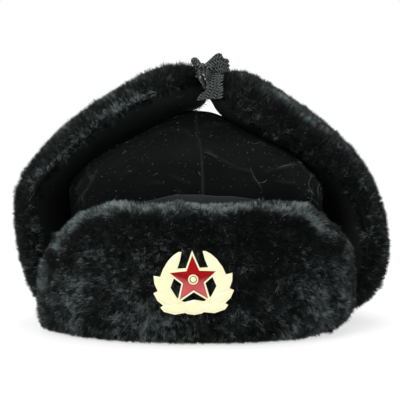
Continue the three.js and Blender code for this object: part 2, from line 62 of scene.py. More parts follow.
def shareBetween(values, start, end):  # 0 up to the start, 1 from the end on
    return np.clip((values - start) / (end - start), 0, 1)


def eased(share):
    return share * share * (3 - 2 * share)


def noiseAt(points, scale, shift=(0, 0, 0)):
    return np.array([noise.noise(Vector(p) * scale + Vector(shift)) for p in points])


def toSegment(x, y, start, end):  # how far points lie from a segment, and their share of the way along it
    (ax, ay), (bx, by) = start, end
    along = ((x - ax) * (bx - ax) + (y - ay) * (by - ay)) / ((bx - ax) ** 2 + (by - ay) ** 2)
    along = np.clip(along, 0, 1)
    return np.hypot(x - ax - along * (bx - ax), y - ay - along * (by - ay)), along


def sumNear(points, places, power):  # what a table of places in mm adds at each point
    total = np.zeros(len(points))
    for x, y, z, reach, change in places:
        away = np.linalg.norm(points / mm - np.array([x, y, z]), axis=1)
        total += change * bell(away, reach, power)
    return total


# Helpers for nodes
def setInputs(node, values):
    for label, value in values.items():
        node.inputs[label.replace("_", " ")].default_value = (*value, 1) if isinstance(value, tuple) else value


def wire(tree, socket, term):  # the term is another socket or a value
    if isinstance(term, bpy.types.NodeSocket):
        tree.links.new(term, socket)
    else:
        socket.default_value = term


def wireMath(tree, operation, *terms):
    node = tree.nodes.new("ShaderNodeMath")
    node.operation = operation
    for socket, term in zip(node.inputs, terms):
        wire(tree, socket, term)
    return node.outputs[0]


def wireMix(tree, blend, factor, first, second):
    node = tree.nodes.new("ShaderNodeMix")
    node.data_type = "RGBA"
    node.blend_type = blend
    for label, term in (("Factor", factor), ("A", first), ("B", second)):
        wire(tree, node.inputs[label], term)
    return node.outputs["Result"]


def wireRamp(tree, place, stops):  # a colour at each of a few places from 0 to 1
    ramp = tree.nodes.new("ShaderNodeValToRGB")
    for end, (at, colour) in zip(ramp.color_ramp.elements, (stops[0], stops[-1])):
        end.position, end.color = at, (*colour, 1)
    for at, colour in stops[1:-1]:
        ramp.color_ramp.elements.new(at).color = (*colour, 1)
    wire(tree, ramp.inputs["Fac"], place)
    return ramp.outputs["Color"]


def wireBump(tree, shader, height, strength, depth):
    bump = tree.nodes.new("ShaderNodeBump")
    setInputs(bump, {"Strength": strength, "Distance": depth})
    tree.links.new(height, bump.inputs["Height"])
    tree.links.new(bump.outputs["Normal"], shader.inputs["Normal"])


def wireGroup(tree, group, values):  # a shared group with a material's own values
    node = tree.nodes.new("ShaderNodeGroup")
    node.node_tree = bpy.data.node_groups[group]
    setInputs(node, values)
    return node.outputs[0]


def readMap(tree, name):  # a map's socket and its two axes
    place, split = tree.nodes.new("ShaderNodeUVMap"), tree.nodes.new("ShaderNodeSeparateXYZ")
    place.uv_map = name
    tree.links.new(place.outputs["UV"], split.inputs["Vector"])
    return place.outputs["UV"], split.outputs["X"], split.outputs["Y"]


# tones: dark, light, and the scales of patches and flecks
# creases: the scales of creases and nap, their strength and their depth
def newMaterial(name, tones=None, creases=None, **values):
    material = bpy.data.materials.new(name)
    material.use_nodes = True
    tree = material.node_tree
    shader = tree.nodes["Principled BSDF"]
    setInputs(shader, values)
    if tones:
        labels = ("Dark", "Light", "Patch Scale", "Fleck Scale")
        tree.links.new(wireGroup(tree, "patchyTone", dict(zip(labels, tones))), shader.inputs["Base Color"])
    if creases:
        height = wireGroup(tree, "clothCreases", dict(zip(("Crease Scale", "Nap Scale"), creases)))
        wireBump(tree, shader, height, *creases[2:])
    return material, tree, shader


# Camera, light and floor
viewSettings = {
    "aim": (-0.0018, 0.0003, 0.0828),
    "distance": 0.9,
    "rise": 2.5,  # of the camera over its aim, in degrees
    "lens": 115.74,
    "sensor": 36,
    "points": 400,  # across the picture
}
lightSettings = {
    "key": {"at": (-0.75, -1.15, 1.25), "size": 0.9, "power": 16, "tint": (1.0, 0.99, 0.97)},
    "fill": {"at": (1.1, -0.9, 0.6), "size": 0.9, "power": 2, "tint": (0.95, 0.98, 1.0)},
    "top": {"at": (0.1, 0.35, 1.3), "size": 0.8, "power": 8, "tint": (1.0, 1.0, 1.0)},
}
studioSettings = {"lampsAim": (0, 0, 0.08), "world": 1.0, "floorSize": 12, "floorTone": 0.28, "floorGlow": 0.66}


def viewAxes():  # the camera's place, the way back to it from its aim, and up in the picture
    rise = math.radians(viewSettings["rise"])
    back = np.array([0, -math.cos(rise), math.sin(rise)])
    up = np.array([0, math.sin(rise), math.cos(rise)])
    return np.array(viewSettings["aim"]) + back * viewSettings["distance"], back, up


def addCamera():
    data = bpy.data.cameras.new("camera")
    data.lens = viewSettings["lens"]
    data.sensor_width = viewSettings["sensor"]
    camera = bpy.data.objects.new("camera", data)
    camera.location = viewAxes()[0]
    camera.rotation_euler = (math.radians(90 - viewSettings["rise"]), 0, 0)
    bpy.context.scene.collection.objects.link(camera)
    bpy.context.scene.camera = camera


def addLights():
    for name, setting in lightSettings.items():
        data = bpy.data.lights.new(name, "AREA")
        data.size = setting["size"]
        data.energy = setting["power"]
        data.color = setting["tint"]
        lamp = bpy.data.objects.new(name, data)
        lamp.location = setting["at"]
        aim = Vector(studioSettings["lampsAim"]) - Vector(setting["at"])
        lamp.rotation_euler = aim.to_track_quat("-Z", "Y").to_euler()
        bpy.context.scene.collection.objects.link(lamp)
    world = bpy.data.worlds.new("studio")
    world.use_nodes = True
    background = world.node_tree.nodes["Background"]
    setInputs(background, {"Color": (1.0, 1.0, 1.0), "Strength": studioSettings["world"]})
    bpy.context.scene.world = world
    bpy.context.scene.view_settings.view_transform = "Standard"


def addFloor():
    bpy.ops.mesh.primitive_plane_add(size=studioSettings["floorSize"], location=(0, 0, 0))
    floor = bpy.context.object
    floor.name = "floor"
    material = newMaterial(
        "palePaper",
        Base_Color=(studioSettings["floorTone"],) * 3,
        Roughness=0.8,
        Emission_Color=(1.0, 1.0, 1.0),
        Emission_Strength=studioSettings["floorGlow"],
    )[0]
    floor.data.materials.append(material)


addCamera()
addLights()
addFloor()
print("camera, light and floor set")


# Shared node groups
groupSettings = {
    "tone": {"fine": 0.35, "detail": 3, "dark": 0.42, "light": 0.92},
    "creases": {"fine": 0.25, "detail": 4, "distortion": 0.6},
}


def newGroup(name, inputs, outputs):
    group = bpy.data.node_groups.new(name, "ShaderNodeTree")
    for label, kind, value in inputs:
        socket = group.interface.new_socket(label, in_out="INPUT", socket_type=kind)
        socket.default_value = value
    for label, kind in outputs:
        group.interface.new_socket(label, in_out="OUTPUT", socket_type=kind)
    return group, group.nodes.new("NodeGroupInput"), group.nodes.new("NodeGroupOutput")


def wireNoises(group, source, labels, setting):  # a coarse noise with a share of a finer one added
    place = group.nodes.new("ShaderNodeTexCoord").outputs["Object"]
    coarse, fine = (group.nodes.new("ShaderNodeTexNoise") for label in labels)
    for texture, label in zip((coarse, fine), labels):
        group.links.new(place, texture.inputs["Vector"])
        group.links.new(source.outputs[label], texture.inputs["Scale"])
    setInputs(coarse, {"Detail": setting["detail"], "Distortion": setting.get("distortion", 0.0)})
    return wireMath(group, "MULTIPLY_ADD", fine.outputs["Fac"], setting["fine"], coarse.outputs["Fac"])


def makePatchyTone():  # soft patches between two tones, with finer flecks over them
    group, source, result = newGroup(
        "patchyTone",
        [
            ("Dark", "NodeSocketColor", (0, 0, 0, 1)),
            ("Light", "NodeSocketColor", (1, 1, 1, 1)),
            ("Patch Scale", "NodeSocketFloat", 40.0),
            ("Fleck Scale", "NodeSocketFloat", 400.0),
        ],
        [("Color", "NodeSocketColor")],
    )
    setting = groupSettings["tone"]
    both = wireNoises(group, source, ("Patch Scale", "Fleck Scale"), setting)
    mask = wireRamp(group, both, ((setting["dark"], (0, 0, 0)), (setting["light"], (1, 1, 1))))
    tone = wireMix(group, "MIX", mask, source.outputs["Dark"], source.outputs["Light"])
    group.links.new(tone, result.inputs["Color"])


def makeCreases():  # height of fine creases and nap on cloth
    group, source, result = newGroup(
        "clothCreases",
        [("Crease Scale", "NodeSocketFloat", 60.0), ("Nap Scale", "NodeSocketFloat", 900.0)],
        [("Height", "NodeSocketFloat")],
    )
    both = wireNoises(group, source, ("Crease Scale", "Nap Scale"), groupSettings["creases"])
    group.links.new(both, result.inputs["Height"])


makePatchyTone()
makeCreases()


# Materials of the hat
velourSettings = {
    "scales": (35, 700),
    "creases": (70, 1500, 0.5, 0.0012),
    # dark, light, and the tone where the nap is rubbed and painted sheen lies, of each
    "blackVelour": ((0.0016, 0.0019, 0.0018), (0.0032, 0.0038, 0.0036), (0.02, 0.0225, 0.022)),
    # the flaps' backs are the crown's same velour, made several times lighter as painted light in the shade
    # between flap and crown
    "velourBackPaintedLight": ((0.015, 0.0168, 0.0163), (0.024, 0.0268, 0.026), (0.04, 0.045, 0.044)),
}
furSettings = {
    "roots": ((0.003, 0.0035, 0.0035), (0.011, 0.0125, 0.0125), 60, 900),
    # share of a hair's tone from its root to its tip, lighter towards the tip as painted sheen
    "upHairSheen": ((0, (0.03, 0.03, 0.03)), (0.5, (0.3, 0.3, 0.3)), (1, (1, 1, 1))),
    # from the darkest hairs to the lightest
    "tones": (
        (0, (0.003, 0.0034, 0.0034)),
        (0.35, (0.0145, 0.0178, 0.0174)),
        (0.7, (0.053, 0.066, 0.065)),
        (1, (0.25, 0.308, 0.303)),
    ),
}


def makeVelour(name):
    dark, light, lightening = velourSettings[name]
    material, tree, shader = newMaterial(
        name,
        tones=(dark, light, *velourSettings["scales"]),
        creases=velourSettings["creases"],
        Roughness=0.9,
        Specular_IOR_Level=0.02,
        Sheen_Weight=0.007,
        Sheen_Roughness=0.35,
        Sheen_Tint=(0.8, 0.9, 0.88),
    )
    # ridges and edges lighter where the nap is rubbed, and with painted sheen on them, from the piece's own values
    # of both
    wearAndSheen = tree.nodes.new("ShaderNodeAttribute")
    wearAndSheen.attribute_name = "wearAndSheen"
    base = shader.inputs["Base Color"]
    tree.links.new(wireMix(tree, "MIX", wearAndSheen.outputs["Fac"], base.links[0].from_socket, (*lightening, 1)), base)
    return material


def makeFurPile():  # the map's first axis runs up a hair, and its second is how light the hair is
    material, tree, shader = newMaterial("furPile", Roughness=0.6, Specular_IOR_Level=0.08)
    up, tone = readMap(tree, "OFBake")[1:]
    # lighter up the hair, as painted sheen at the tips
    shade = wireRamp(tree, up, furSettings["upHairSheen"])
    colour = wireRamp(tree, tone, furSettings["tones"])
    tree.links.new(wireMix(tree, "MULTIPLY", 1.0, shade, colour), shader.inputs["Base Color"])
    return material


velour = makeVelour("blackVelour")
# the flaps' velour, lightened as painted light in its shade
velourBackPaintedLight = makeVelour("velourBackPaintedLight")
furRoots = newMaterial("furRoots", tones=furSettings["roots"], Roughness=0.9, Specular_IOR_Level=0.02)[0]
furPile = makeFurPile()
print("cloth and fur materials made")


# Making and shaping pieces
def selectOnly(*pieces):
    bpy.ops.object.select_all(action="DESELECT")
    for piece in pieces:
        piece.select_set(True)
    bpy.context.view_layer.objects.active = pieces[0]


def mergedCopy(node, name):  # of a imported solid, for a piece that starts from it
    mesh = nodes[node].data.copy()
    mesh.name = name
    mesh.materials.clear()
    piece = bpy.data.objects.new(name, mesh)
    bpy.context.scene.collection.objects.link(piece)
    bm = bmesh.new()
    bm.from_mesh(mesh)
    bmesh.ops.remove_doubles(bm, verts=bm.verts, dist=1e-5)
    bm.to_mesh(mesh)
    bm.free()
    return piece


def addPrimitive(kind, **values):
    bpy.ops.object.select_all(action="DESELECT")
    getattr(bpy.ops.mesh, f"primitive_{kind}_add")(**values)
    return bpy.context.object


def addBall(segments, rings):
    ball = addPrimitive("uv_sphere", segments=segments, ring_count=rings, radius=1)
    return ball, pointsOf(ball.data)


def newMesh(name, points, faces):
    mesh = bpy.data.meshes.new(name)
    count, size = faces.shape
    mesh.vertices.add(len(points))
    mesh.vertices.foreach_set("co", np.asarray(points, float).ravel())
    mesh.loops.add(faces.size)
    mesh.loops.foreach_set("vertex_index", faces.ravel().astype(np.int32))
    mesh.polygons.add(count)
    mesh.polygons.foreach_set("loop_start", np.arange(0, faces.size, size, dtype=np.int32))
    mesh.update(calc_edges=True)
    mesh.validate()
    piece = bpy.data.objects.new(name, mesh)
    bpy.context.scene.collection.objects.link(piece)
    return piece


def setMap(mesh, values, name="OFBake"):
    layer = mesh.uv_layers.new(name=name)
    layer.uv.foreach_set("vector", np.asarray(values, np.float32).ravel())


def joinPieces(pieces, name):
    selectOnly(*pieces)
    bpy.ops.object.join()
    joined = bpy.context.object
    joined.name = joined.data.name = name
    return joined


def applyModifier(piece, kind, **values):
    modifier = piece.modifiers.new(kind.lower(), kind)
    for label, value in values.items():
        setattr(modifier, label, value)
    selectOnly(piece)
    bpy.ops.object.modifier_apply(modifier=modifier.name)


def roundOff(piece, levels):  # subdivides, with the solid's own corners held in place
    held = pointsOf(piece.data)
    cage = held.copy()
    modifier = piece.modifiers.new("rounding", "SUBSURF")
    modifier.levels = modifier.render_levels = levels
    for attempt in range(5):
        movePoints(piece.data, cage)
        shape = piece.evaluated_get(bpy.context.evaluated_depsgraph_get()).data
        cage += 0.9 * (held - pointsOf(shape)[: len(held)])
    movePoints(piece.data, cage)
    selectOnly(piece)
    bpy.ops.object.modifier_apply(modifier=modifier.name)


def editFaces(piece, operator, chosen=None, **values):  # an edit mode operator on chosen faces, or on all
    selectOnly(piece)
    bpy.ops.object.mode_set(mode="EDIT")
    bpy.ops.mesh.select_all(action="DESELECT" if chosen else "SELECT")
    if chosen:
        bpy.ops.object.mode_set(mode="OBJECT")
        for face in piece.data.polygons:
            face.select = chosen(face)
        bpy.ops.object.mode_set(mode="EDIT")
    operator(**values)
    bpy.ops.object.mode_set(mode="OBJECT")


def toQuads(piece):
    angle = math.radians(50)
    editFaces(piece, bpy.ops.mesh.tris_convert_to_quads, face_threshold=angle, shape_threshold=angle)


def smoothShade(piece, angle=180):
    selectOnly(piece)
    if angle >= 180:
        bpy.ops.object.shade_smooth()
    else:
        bpy.ops.object.shade_smooth_by_angle(angle=math.radians(angle))


def pointsOf(mesh):
    points = np.empty(len(mesh.vertices) * 3)
    mesh.vertices.foreach_get("co", points)
    return points.reshape(-1, 3)


def normalsOf(mesh):
    normals = np.empty(len(mesh.vertices) * 3)
    mesh.vertex_normals.foreach_get("vector", normals)
    return normals.reshape(-1, 3)


def movePoints(mesh, points):
    mesh.vertices.foreach_set("co", points.ravel())
    mesh.update()


def reshape(piece, points, angle=180):
    movePoints(piece.data, points)
    smoothShade(piece, angle)


def treeOf(piece):
    bm = bmesh.new()
    bm.from_mesh(piece.data)
    tree = BVHTree.FromBMesh(bm)
    bm.free()
    return tree


def finish(piece, material, slot, *replaced):
    piece.data.materials.clear()
    piece.data.materials.append(material)
    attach(piece, "root")
    if replaced:
        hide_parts(*replaced)


# Crown
crownSettings = {
    "levels": 2,
    "finer": (-0.012, 0.078),  # the outside before and above these is subdivided twice more
    "relief": (0.02, 0.04),  # heights between which the relief sets in
    "hollow": (0, 0, 0.03),  # middle of the hollow
    "ripple": 0.0006,
    "rippleScales": (38, 90),
    # ripple tops lighter: rubbed nap and painted sheen
    "rippleWearAndSheen": 0.05,
    "point": 0.65,  # size of one of the picture's points on the front, in mm
    "creaseEnds": 0.35,  # how much of a crease is left at its ends
    "fill": (1.5, 1.7),  # of the groove that the solid has at each seam: height and half width, in mm
    "ridge": (0.8, 0.6),  # height and half width of the raised seam, in mm
    "seamTop": (150, 138),  # the seams fade out between these heights
    "seamWearAndSheen": ((84, 110, 128), (0.6, 0.4, 0.12)),  # how far its nap is rubbed, and painted highlight on the seam, at each height
    # the front seam and the solid's groove: heights, and how far they stand to the right there, in mm
    "frontSeam": ((84, 100, 116, 126, 141), (2.0, 1.9, 1.1, -1.0, -1.7)),
    "groove": ((84, 108, 128, 144), (-0.5, -0.5, -1.6, -2.6)),
}
# creases as seen from the front, in the picture's points: the two ends, rise and half width in mm,
# and how far the nap is rubbed and painted sheen lies on them
crownCreases = [
    ((205, 151), (217, 158), 1.0, 1.1, 0.5),
    ((217, 158), (238, 169), 0.6, 1.3, 0.22),
    ((277, 169.5), (299, 164), 1.2, 1.2, 0.5),
    ((262, 172), (280, 169), 0.6, 1.6, 0.15),
    ((240, 169), (252, 172), 0.7, 1.2, 0.3),
    ((275, 181), (296, 184.5), 0.8, 1.3, 0.25),
    ((96, 172), (89, 187), 1.0, 1.1, 0.4),
    ((89, 187), (75, 207), 0.9, 1.0, 0.45),
    ((86, 169), (94, 183), 0.8, 1.1, 0.3),
    ((83, 180), (75, 195), 0.9, 1.2, 0.3),
    ((84.5, 194), (84, 208), 0.7, 0.8, 0.35),
    ((87, 195), (87, 207), -0.6, 0.9, 0.0),
    ((317, 181), (317.5, 206), 0.8, 0.9, 0.4),
    ((320, 183), (320.5, 208), 0.8, 0.9, 0.4),
    ((298, 162), (306, 172), 0.8, 1.2, 0.35),
    ((306, 172), (319, 178), 0.9, 1.2, 0.4),
    ((303, 196), (307, 190), 0.7, 0.8, 0.4),
    ((307, 190), (313, 193), 0.7, 0.8, 0.4),
    ((154, 136), (168, 130.5), 0.9, 2.0, 0.14),
    ((168, 130.5), (184, 131), 0.8, 2.2, 0.12),
    ((184, 131), (196, 140), 0.7, 1.6, 0.12),
    ((205, 127), (232, 125), 0.7, 1.4, 0.16),
    ((208, 133), (222, 136), -0.6, 1.6, 0.0),
    ((170, 175), (190, 184), 0.5, 1.4, 0.16),
    ((150, 182), (164, 184), 0.5, 1.2, 0.2),
    ((176, 190), (184, 194), 0.6, 1.0, 0.3),
    ((252, 178), (262, 186), 0.5, 1.2, 0.25),
    ((120, 176), (136, 170), 0.4, 1.8, 0.1),
]


def seenFromFront(points):  # where points lie in the picture
    eye, back, up = viewAxes()
    away = points - eye
    half = viewSettings["points"] / 2
    scale = viewSettings["points"] * viewSettings["lens"] / viewSettings["sensor"] / -(away @ back)
    return half + scale * away[:, 0], half - scale * (away @ up)


# lighter where the nap is rubbed and where sheen is painted
def setWearAndSheen(piece, values):
    layer = piece.data.attributes.new("wearAndSheen", "FLOAT", "POINT")
    layer.data.foreach_set("value", np.clip(values, 0, 1).astype(np.float32))


def isFiner(face):  # the part of the crown that shows in front
    before, above = crownSettings["finer"]
    return face.center.y < before and face.center.z > above and face.normal.dot(face.center) > 0


def makeCrown():
    crown = mergedCopy("crown", "crown_velour")
    toQuads(crown)
    roundOff(crown, crownSettings["levels"])
    editFaces(crown, bpy.ops.mesh.subdivide, isFiner, number_cuts=2, smoothness=0.0, quadcorner="INNERVERT")
    points, normals = pointsOf(crown.data), normalsOf(crown.data)
    outside = ((points - np.array(crownSettings["hollow"])) * normals).sum(1) > 0
    shown = shareBetween(points[:, 2], *crownSettings["relief"]) * outside
    rise, wearAndSheen = np.zeros(len(points)), np.zeros(len(points))
    seenX, seenY = seenFromFront(points)
    front = points[:, 1] < 0
    for start, end, height, width, wear in crownCreases:
        away, along = toSegment(seenX, seenY, start, end)
        away = away * crownSettings["point"]
        arch = np.sin(math.pi * np.clip(along, 0.02, 0.98))
        fade = front * (crownSettings["creaseEnds"] + (1 - crownSettings["creaseEnds"]) * arch)
        rise += fade * height * bell(away, width)
        wearAndSheen += fade * wear * bell(away, 0.7 * width)
    # each seam: its groove is filled, and the seam stands up in it as a thin ridge
    x, y, z = (points - hatShift).T / mm
    groove = np.interp(z, *crownSettings["groove"])
    frontSeam = np.interp(z, *crownSettings["frontSeam"])
    fill, grooveWidth = crownSettings["fill"]
    height, width = crownSettings["ridge"]
    top = shareBetween(z, *crownSettings["seamTop"])
    for across, line in ((x - groove, x - np.where(front, frontSeam, groove)), (y, y)):
        rise += top * (fill * bell(across, grooveWidth) + height * bell(line, width))
        # the seam's line is lighter: rubbed nap and painted highlight
        wearAndSheen += np.interp(z, *crownSettings["seamWearAndSheen"]) * bell(line, width)
    coarse, fine = (noiseAt(points, scale) for scale in crownSettings["rippleScales"])
    ripples = coarse + 0.5 * fine
    rise = rise * mm + crownSettings["ripple"] * ripples
    # rubbed nap and painted sheen on creases, seams and the tops of the ripples
    setWearAndSheen(crown, wearAndSheen * shown + crownSettings["rippleWearAndSheen"] * np.clip(ripples, 0, 1))
    reshape(crown, points + normals * (rise * shown)[:, None])
    finish(crown, velour, "velour", "crown")
    return crown


crown = makeCrown()
print("crown done,", len(crown.data.polygons), "faces")


# How the flaps settle
# the front flap's top lies below its solid: places across, the drop of cloth and pile there, how much more
# the roots may drop than the cloth, and the heights between which it sets in, in mm
frontDrop = {
    "across": [-82, -75, -67, -57, -48, -39, -30, -20, -11, -2, 8, 17, 26, 35, 45, 54, 63, 72],
    "cloth": [0, 1.5, 3.5, 4.2, 6.2, 7.8, 5.4, 2, 0.9, 0.3, 0.9, 1.1, 2.5, 4.2, 5.2, 4.6, 1.8, 0],
    "pile": [0, 0.8, 2.2, 2.6, 4.2, 5.8, 4.3, 3.4, 3.2, 2.9, 3.2, 2.8, 2, 2.4, 3.5, 2.9, 0.6, 0],
    "rootsBelow": 0.8,
    "heights": (58, 88),
}
# the left ear flap's tip is longer than its solid: it is drawn out between these places across and below
# these heights, in mm
leftTip = {"longer": 4.6, "across": (-26, -5), "heights": (164, 158)}


def settle(flap, points, part):
    x, z = points[:, 0] / mm, points[:, 2] / mm
    if flap == "ear_flap_left":
        share = shareBetween(x, *leftTip["across"]) * shareBetween(z, *leftTip["heights"])
        points[:, 0] += leftTip["longer"] * mm * eased(share)
    if flap == "front_flap":
        cloth, pile = (np.interp(x, frontDrop["across"], frontDrop[kind]) for kind in ("cloth", "pile"))
        roots = np.minimum(cloth + frontDrop["rootsBelow"], pile)
        drop = {"cloth": cloth, "pile": pile, "roots": roots}[part]
        points[:, 2] -= drop * mm * eased(shareBetween(z, *frontDrop["heights"]))
    return points


# Velour backs of the flaps
faceSettings = {
    "levels": 2,
    "proud": 0.0004,  # how far the cloth may stand over its solid
    "waves": ((45, 0.0009), (110, 0.0003)),  # scale and height
}


def makeFace(flap):
    face = mergedCopy(f"{flap}_face", f"{flap}_velour")
    toQuads(face)
    roundOff(face, faceSettings["levels"])
    points, normals = pointsOf(face.data), normalsOf(face.data)
    points += normals * sum(height * noiseAt(points, scale) for scale, height in faceSettings["waves"])[:, None]
    solid = treeOf(nodes[f"{flap}_face"])
    for i, point in enumerate(points):  # the rim must not bulge over the fur
        near, up, _, away = solid.find_nearest(Vector(point))
        if away > faceSettings["proud"] and (Vector(point) - near).dot(up) > 0:
            points[i] = near + (Vector(point) - near) * faceSettings["proud"] / away
    reshape(face, settle(flap, points, "cloth"))
    finish(face, velourBackPaintedLight, "velour", f"{flap}_face")
    return face


# Fur: dark roots under a pile of single hairs
pileSettings = {
    "front_flap": {"hairs": 104000, "seed": 11, "contrast": 1.0, "comb": (0.06, 0.0, -0.1)},
    "ear_flap_right": {"hairs": 52000, "seed": 12, "contrast": 0.62, "comb": (0.05, -0.1, 0.1)},
    "ear_flap_left": {"hairs": 50000, "seed": 13, "contrast": 0.62, "comb": (-0.05, -0.1, 0.1)},
    "neck_flap": {"hairs": 37000, "seed": 14, "contrast": 0.7, "comb": (0.0, 0.0, -0.12)},
}
hairSettings = {
    "spare": 1.6,  # places tried for each hair
    "clear": 0.0005,  # least distance of the roots from the velour
    "overFloor": 0.0007,  # and from the floor
    "inset": 0.0026,  # from the solid's surface to the roots
    "beyond": 0.0012,  # of the tips over the solid's surface
    "uneven": 0.0007,  # spread of the lengths
    "shortest": 0.0028,
    "longest": 0.0135,
    "farthest": 0.03,  # how far the solid's surface is looked for
    "open": 0.004,  # what counts where there is none
    "radius": 0.00029,
    "sunk": 0.0006,  # of a hair's foot in the roots
    "lean": 0.4,
    "sways": ((95, 1.0), (240, 0.8)),  # scale and strength
    "stray": 0.3,
    "overRim": 1.0,  # how far hairs beside the velour lean over its edge
    "rimRoom": 0.004,  # how near the velour they start to
    "clump": 0.42,
    "hairsInClump": 7,
    "lockTone": 0.2,  # how much locks differ in tone
    "lockShare": 0.3,  # how far a hair takes its lock's tone
    "softness": 0.55,  # how far a hair is shaded with the skin under it
    "relief": 0.75,  # of the solid's locks that shows in the pile
    "deepest": 0.002,  # the most of it that is evened out
    "tipFloor": 0.0004,  # least height of the tips
    "crownRoom": (0.0003, 0.004),  # how far tips stay off the crown, and how near it they are looked for
    "inPiece": 60000,  # hairs in one piece
}
toneSettings = {
    "mean": 0.42,
    "grain": 0.13,  # spread from hair to hair
    "clouds": ((42, 0.3), (95, 0.34), (260, 0.34)),  # scale and strength
    "shift": (3, 1, 7),
    "ends": (0.03, 0.97),
    "fringe": (55, 0.7, (9, 2, 5)),  # scale, strength and shift of its unevenness
}
# painted highlight along the rims: how much lighter it is and how far it reaches, how much darker the pile below
# it is as painted shade, how far below and how wide, and the line it follows across and up, in mm
fringeHighlights = {
    "front_flap": {
        "lighter": 0.46,
        "reach": 3.5,
        "darker": (-0.28, 9.5, 4.5),
        "line": [
            (-93.5, 56), (-90.7, 64), (-83, 73.2), (-73.4, 78.4), (-66.6, 80.4), (-57.4, 84.2), (-48, 85.4),
            (-38.8, 84.3), (-29.6, 85.5), (-20.3, 85.5), (-1.8, 84.3), (7.5, 84.3), (16.7, 84.9), (26, 86.8),
            (35.2, 86.8), (44.5, 84.9), (53.8, 83.1), (63, 82.2), (72.3, 74), (81.6, 65.2),
        ],
    },
    "ear_flap_left": {
        "lighter": 0.4,
        "reach": 3.8,
        "darker": (-0.1, 9, 4.5),
        "line": [
            (-35, 156), (-52, 148.6), (-68.5, 138), (-78.5, 128), (-89, 117.2), (-97.8, 110.6), (-107, 103),
            (-112.5, 94.6), (-114, 84.6), (-112.4, 74.6), (-110.4, 66), (-108.4, 56),
        ],
    },
    "ear_flap_right": {
        "lighter": 0.22,
        "reach": 3.2,
        "darker": (-0.08, 11, 5),
        "line": [
            (48, 161), (65, 149), (81.5, 134.6), (98, 118), (111.5, 94.6), (121.5, 71), (125.5, 48), (123.5, 28),
            (115, 16),
        ],
    },
}
# hairs at the rims: how far they count as such, their length and its unevenness, how much closer they gather, and
# the bare middle of the front flap's rim, with half its width and how it ends, in mm
rimHairs = {"reach": 6.0, "length": 4.6, "uneven": 0.9, "gather": 0.02, "bare": (-1, 30, 38)}
# places where the pile is painted lighter or darker, as the sheen and shade of its lie: x, y, z and reach in mm,
# and by how much
sheenAndShadePatches = [
    (-66, -110, 26, 30, 0.2),
    (-14, -130, 8, 26, 0.16),
    (72, -105, 22, 28, 0.26),
    (45, -118, 50, 30, -0.26),
    (25, -122, 72, 22, -0.2),
    (-20, -125, 72, 26, -0.22),
    (-60, -110, 66, 18, -0.05),
    (78, -95, 62, 18, -0.1),
    (29, -108, 76, 10, -0.34),
    (60, -95, 76, 17, 0.2),
    (-66, -100, 74, 16, 0.1),
    (0, -120, 90, 30, 0.08),
    (-98, -60, 100, 26, 0.04),
    (-62, -40, 142, 32, 0.2),
    (-124, -50, 84, 16, -0.12),
    (-105, -60, 24, 28, 0.26),
    (-8, -30, 170, 17, -0.24),
    (38, -50, 144, 20, 0.24),
    (60, -40, 150, 16, -0.14),
    (100, -40, 122, 20, -0.12),
    (118, -40, 88, 18, 0.1),
    (122, -40, 40, 24, -0.06),
    # hairs in the badge's openings lightened, as painted light in their shade
    (-6, -128, 39, 18, 0.14),
]
# places where the hairs are longer: x, y, z and reach, and by how much, all in mm
longer = [
    (14, -30, 164, 9, 3),
    (8, -10, 166, 8, 1.4),
    (-12, -28, 167, 9, 1.8),
    (-24, -28, 166, 9, 0.7),
    (-7, -30, 172, 8, 2.2),
    (-3, 0, 154, 9, 0.8),
    (18, -30, 168, 8, 1.6),
]
# where the badge presses the pile flat, in metres
badgeSpot = {
    "x": -0.0059,
    "z": 0.0388,
    "halfWidth": 0.0262,
    "halfHeight": 0.0222,
    "back": -0.1292,
    "uneven": 0.0004,
}
rootSettings = {"smoothing": (0.5, 9), "share": 0.45, "clear": 0.0008, "overFloor": 0.0006}


def makeRoots(flap):
    roots = mergedCopy(f"{flap}_fur", f"{flap}_roots")
    factor, rounds = rootSettings["smoothing"]
    applyModifier(roots, "SUBSURF", levels=1, render_levels=1, subdivision_type="SIMPLE")
    applyModifier(roots, "SMOOTH", factor=factor, iterations=rounds)
    backing = treeOf(nodes[f"{flap}_face"])
    points, normals = pointsOf(roots.data), normalsOf(roots.data)
    room = np.array([backing.find_nearest(Vector(p))[3] for p in points])
    free = rootSettings["share"] * np.maximum(room - rootSettings["clear"], 0)
    points -= normals * np.minimum(hairSettings["inset"], free)[:, None]
    points[:, 2] = np.maximum(points[:, 2], rootSettings["overFloor"])
    reshape(roots, points)
    finish(roots, furRoots, "fur", f"{flap}_fur")
    return roots


def scatter(mesh, count, rng):  # even places on the skin, with its smooth normals
    mesh.calc_loop_triangles()
    corners = np.empty(len(mesh.loop_triangles) * 3, int)
    mesh.loop_triangles.foreach_get("vertices", corners)
    corners = corners.reshape(-1, 3)
    points, normals = pointsOf(mesh), normalsOf(mesh)
    a, b, c = (points[corners[:, k]] for k in range(3))
    areas = np.linalg.norm(np.cross(b - a, c - a), axis=1)
    chosen = rng.choice(len(corners), size=count, p=areas / areas.sum())
    u, v = rng.random(count), rng.random(count)
    over = u + v > 1
    u[over], v[over] = 1 - u[over], 1 - v[over]
    weights = np.stack([1 - u - v, u, v], 1)[:, :, None]
    return (points[corners[chosen]] * weights).sum(1), unit((normals[corners[chosen]] * weights).sum(1))


def placeHairs(flap, roots, rng):  # their feet, the way the skin faces, and the distance and way to the velour
    hairs = pileSettings[flap]["hairs"]
    backing = treeOf(nodes[f"{flap}_face"])
    spots, facing = scatter(roots.data, int(hairs * hairSettings["spare"]), rng)
    near = [backing.find_nearest(Vector(p)) for p in spots]
    room = np.array([found[3] for found in near])
    toRim = np.array([found[0] for found in near]) - spots
    clear = (room > hairSettings["clear"]) & (spots[:, 2] > hairSettings["overFloor"])
    keep = np.flatnonzero(clear)[:hairs]
    return spots[keep], facing[keep], room[keep], toRim[keep]


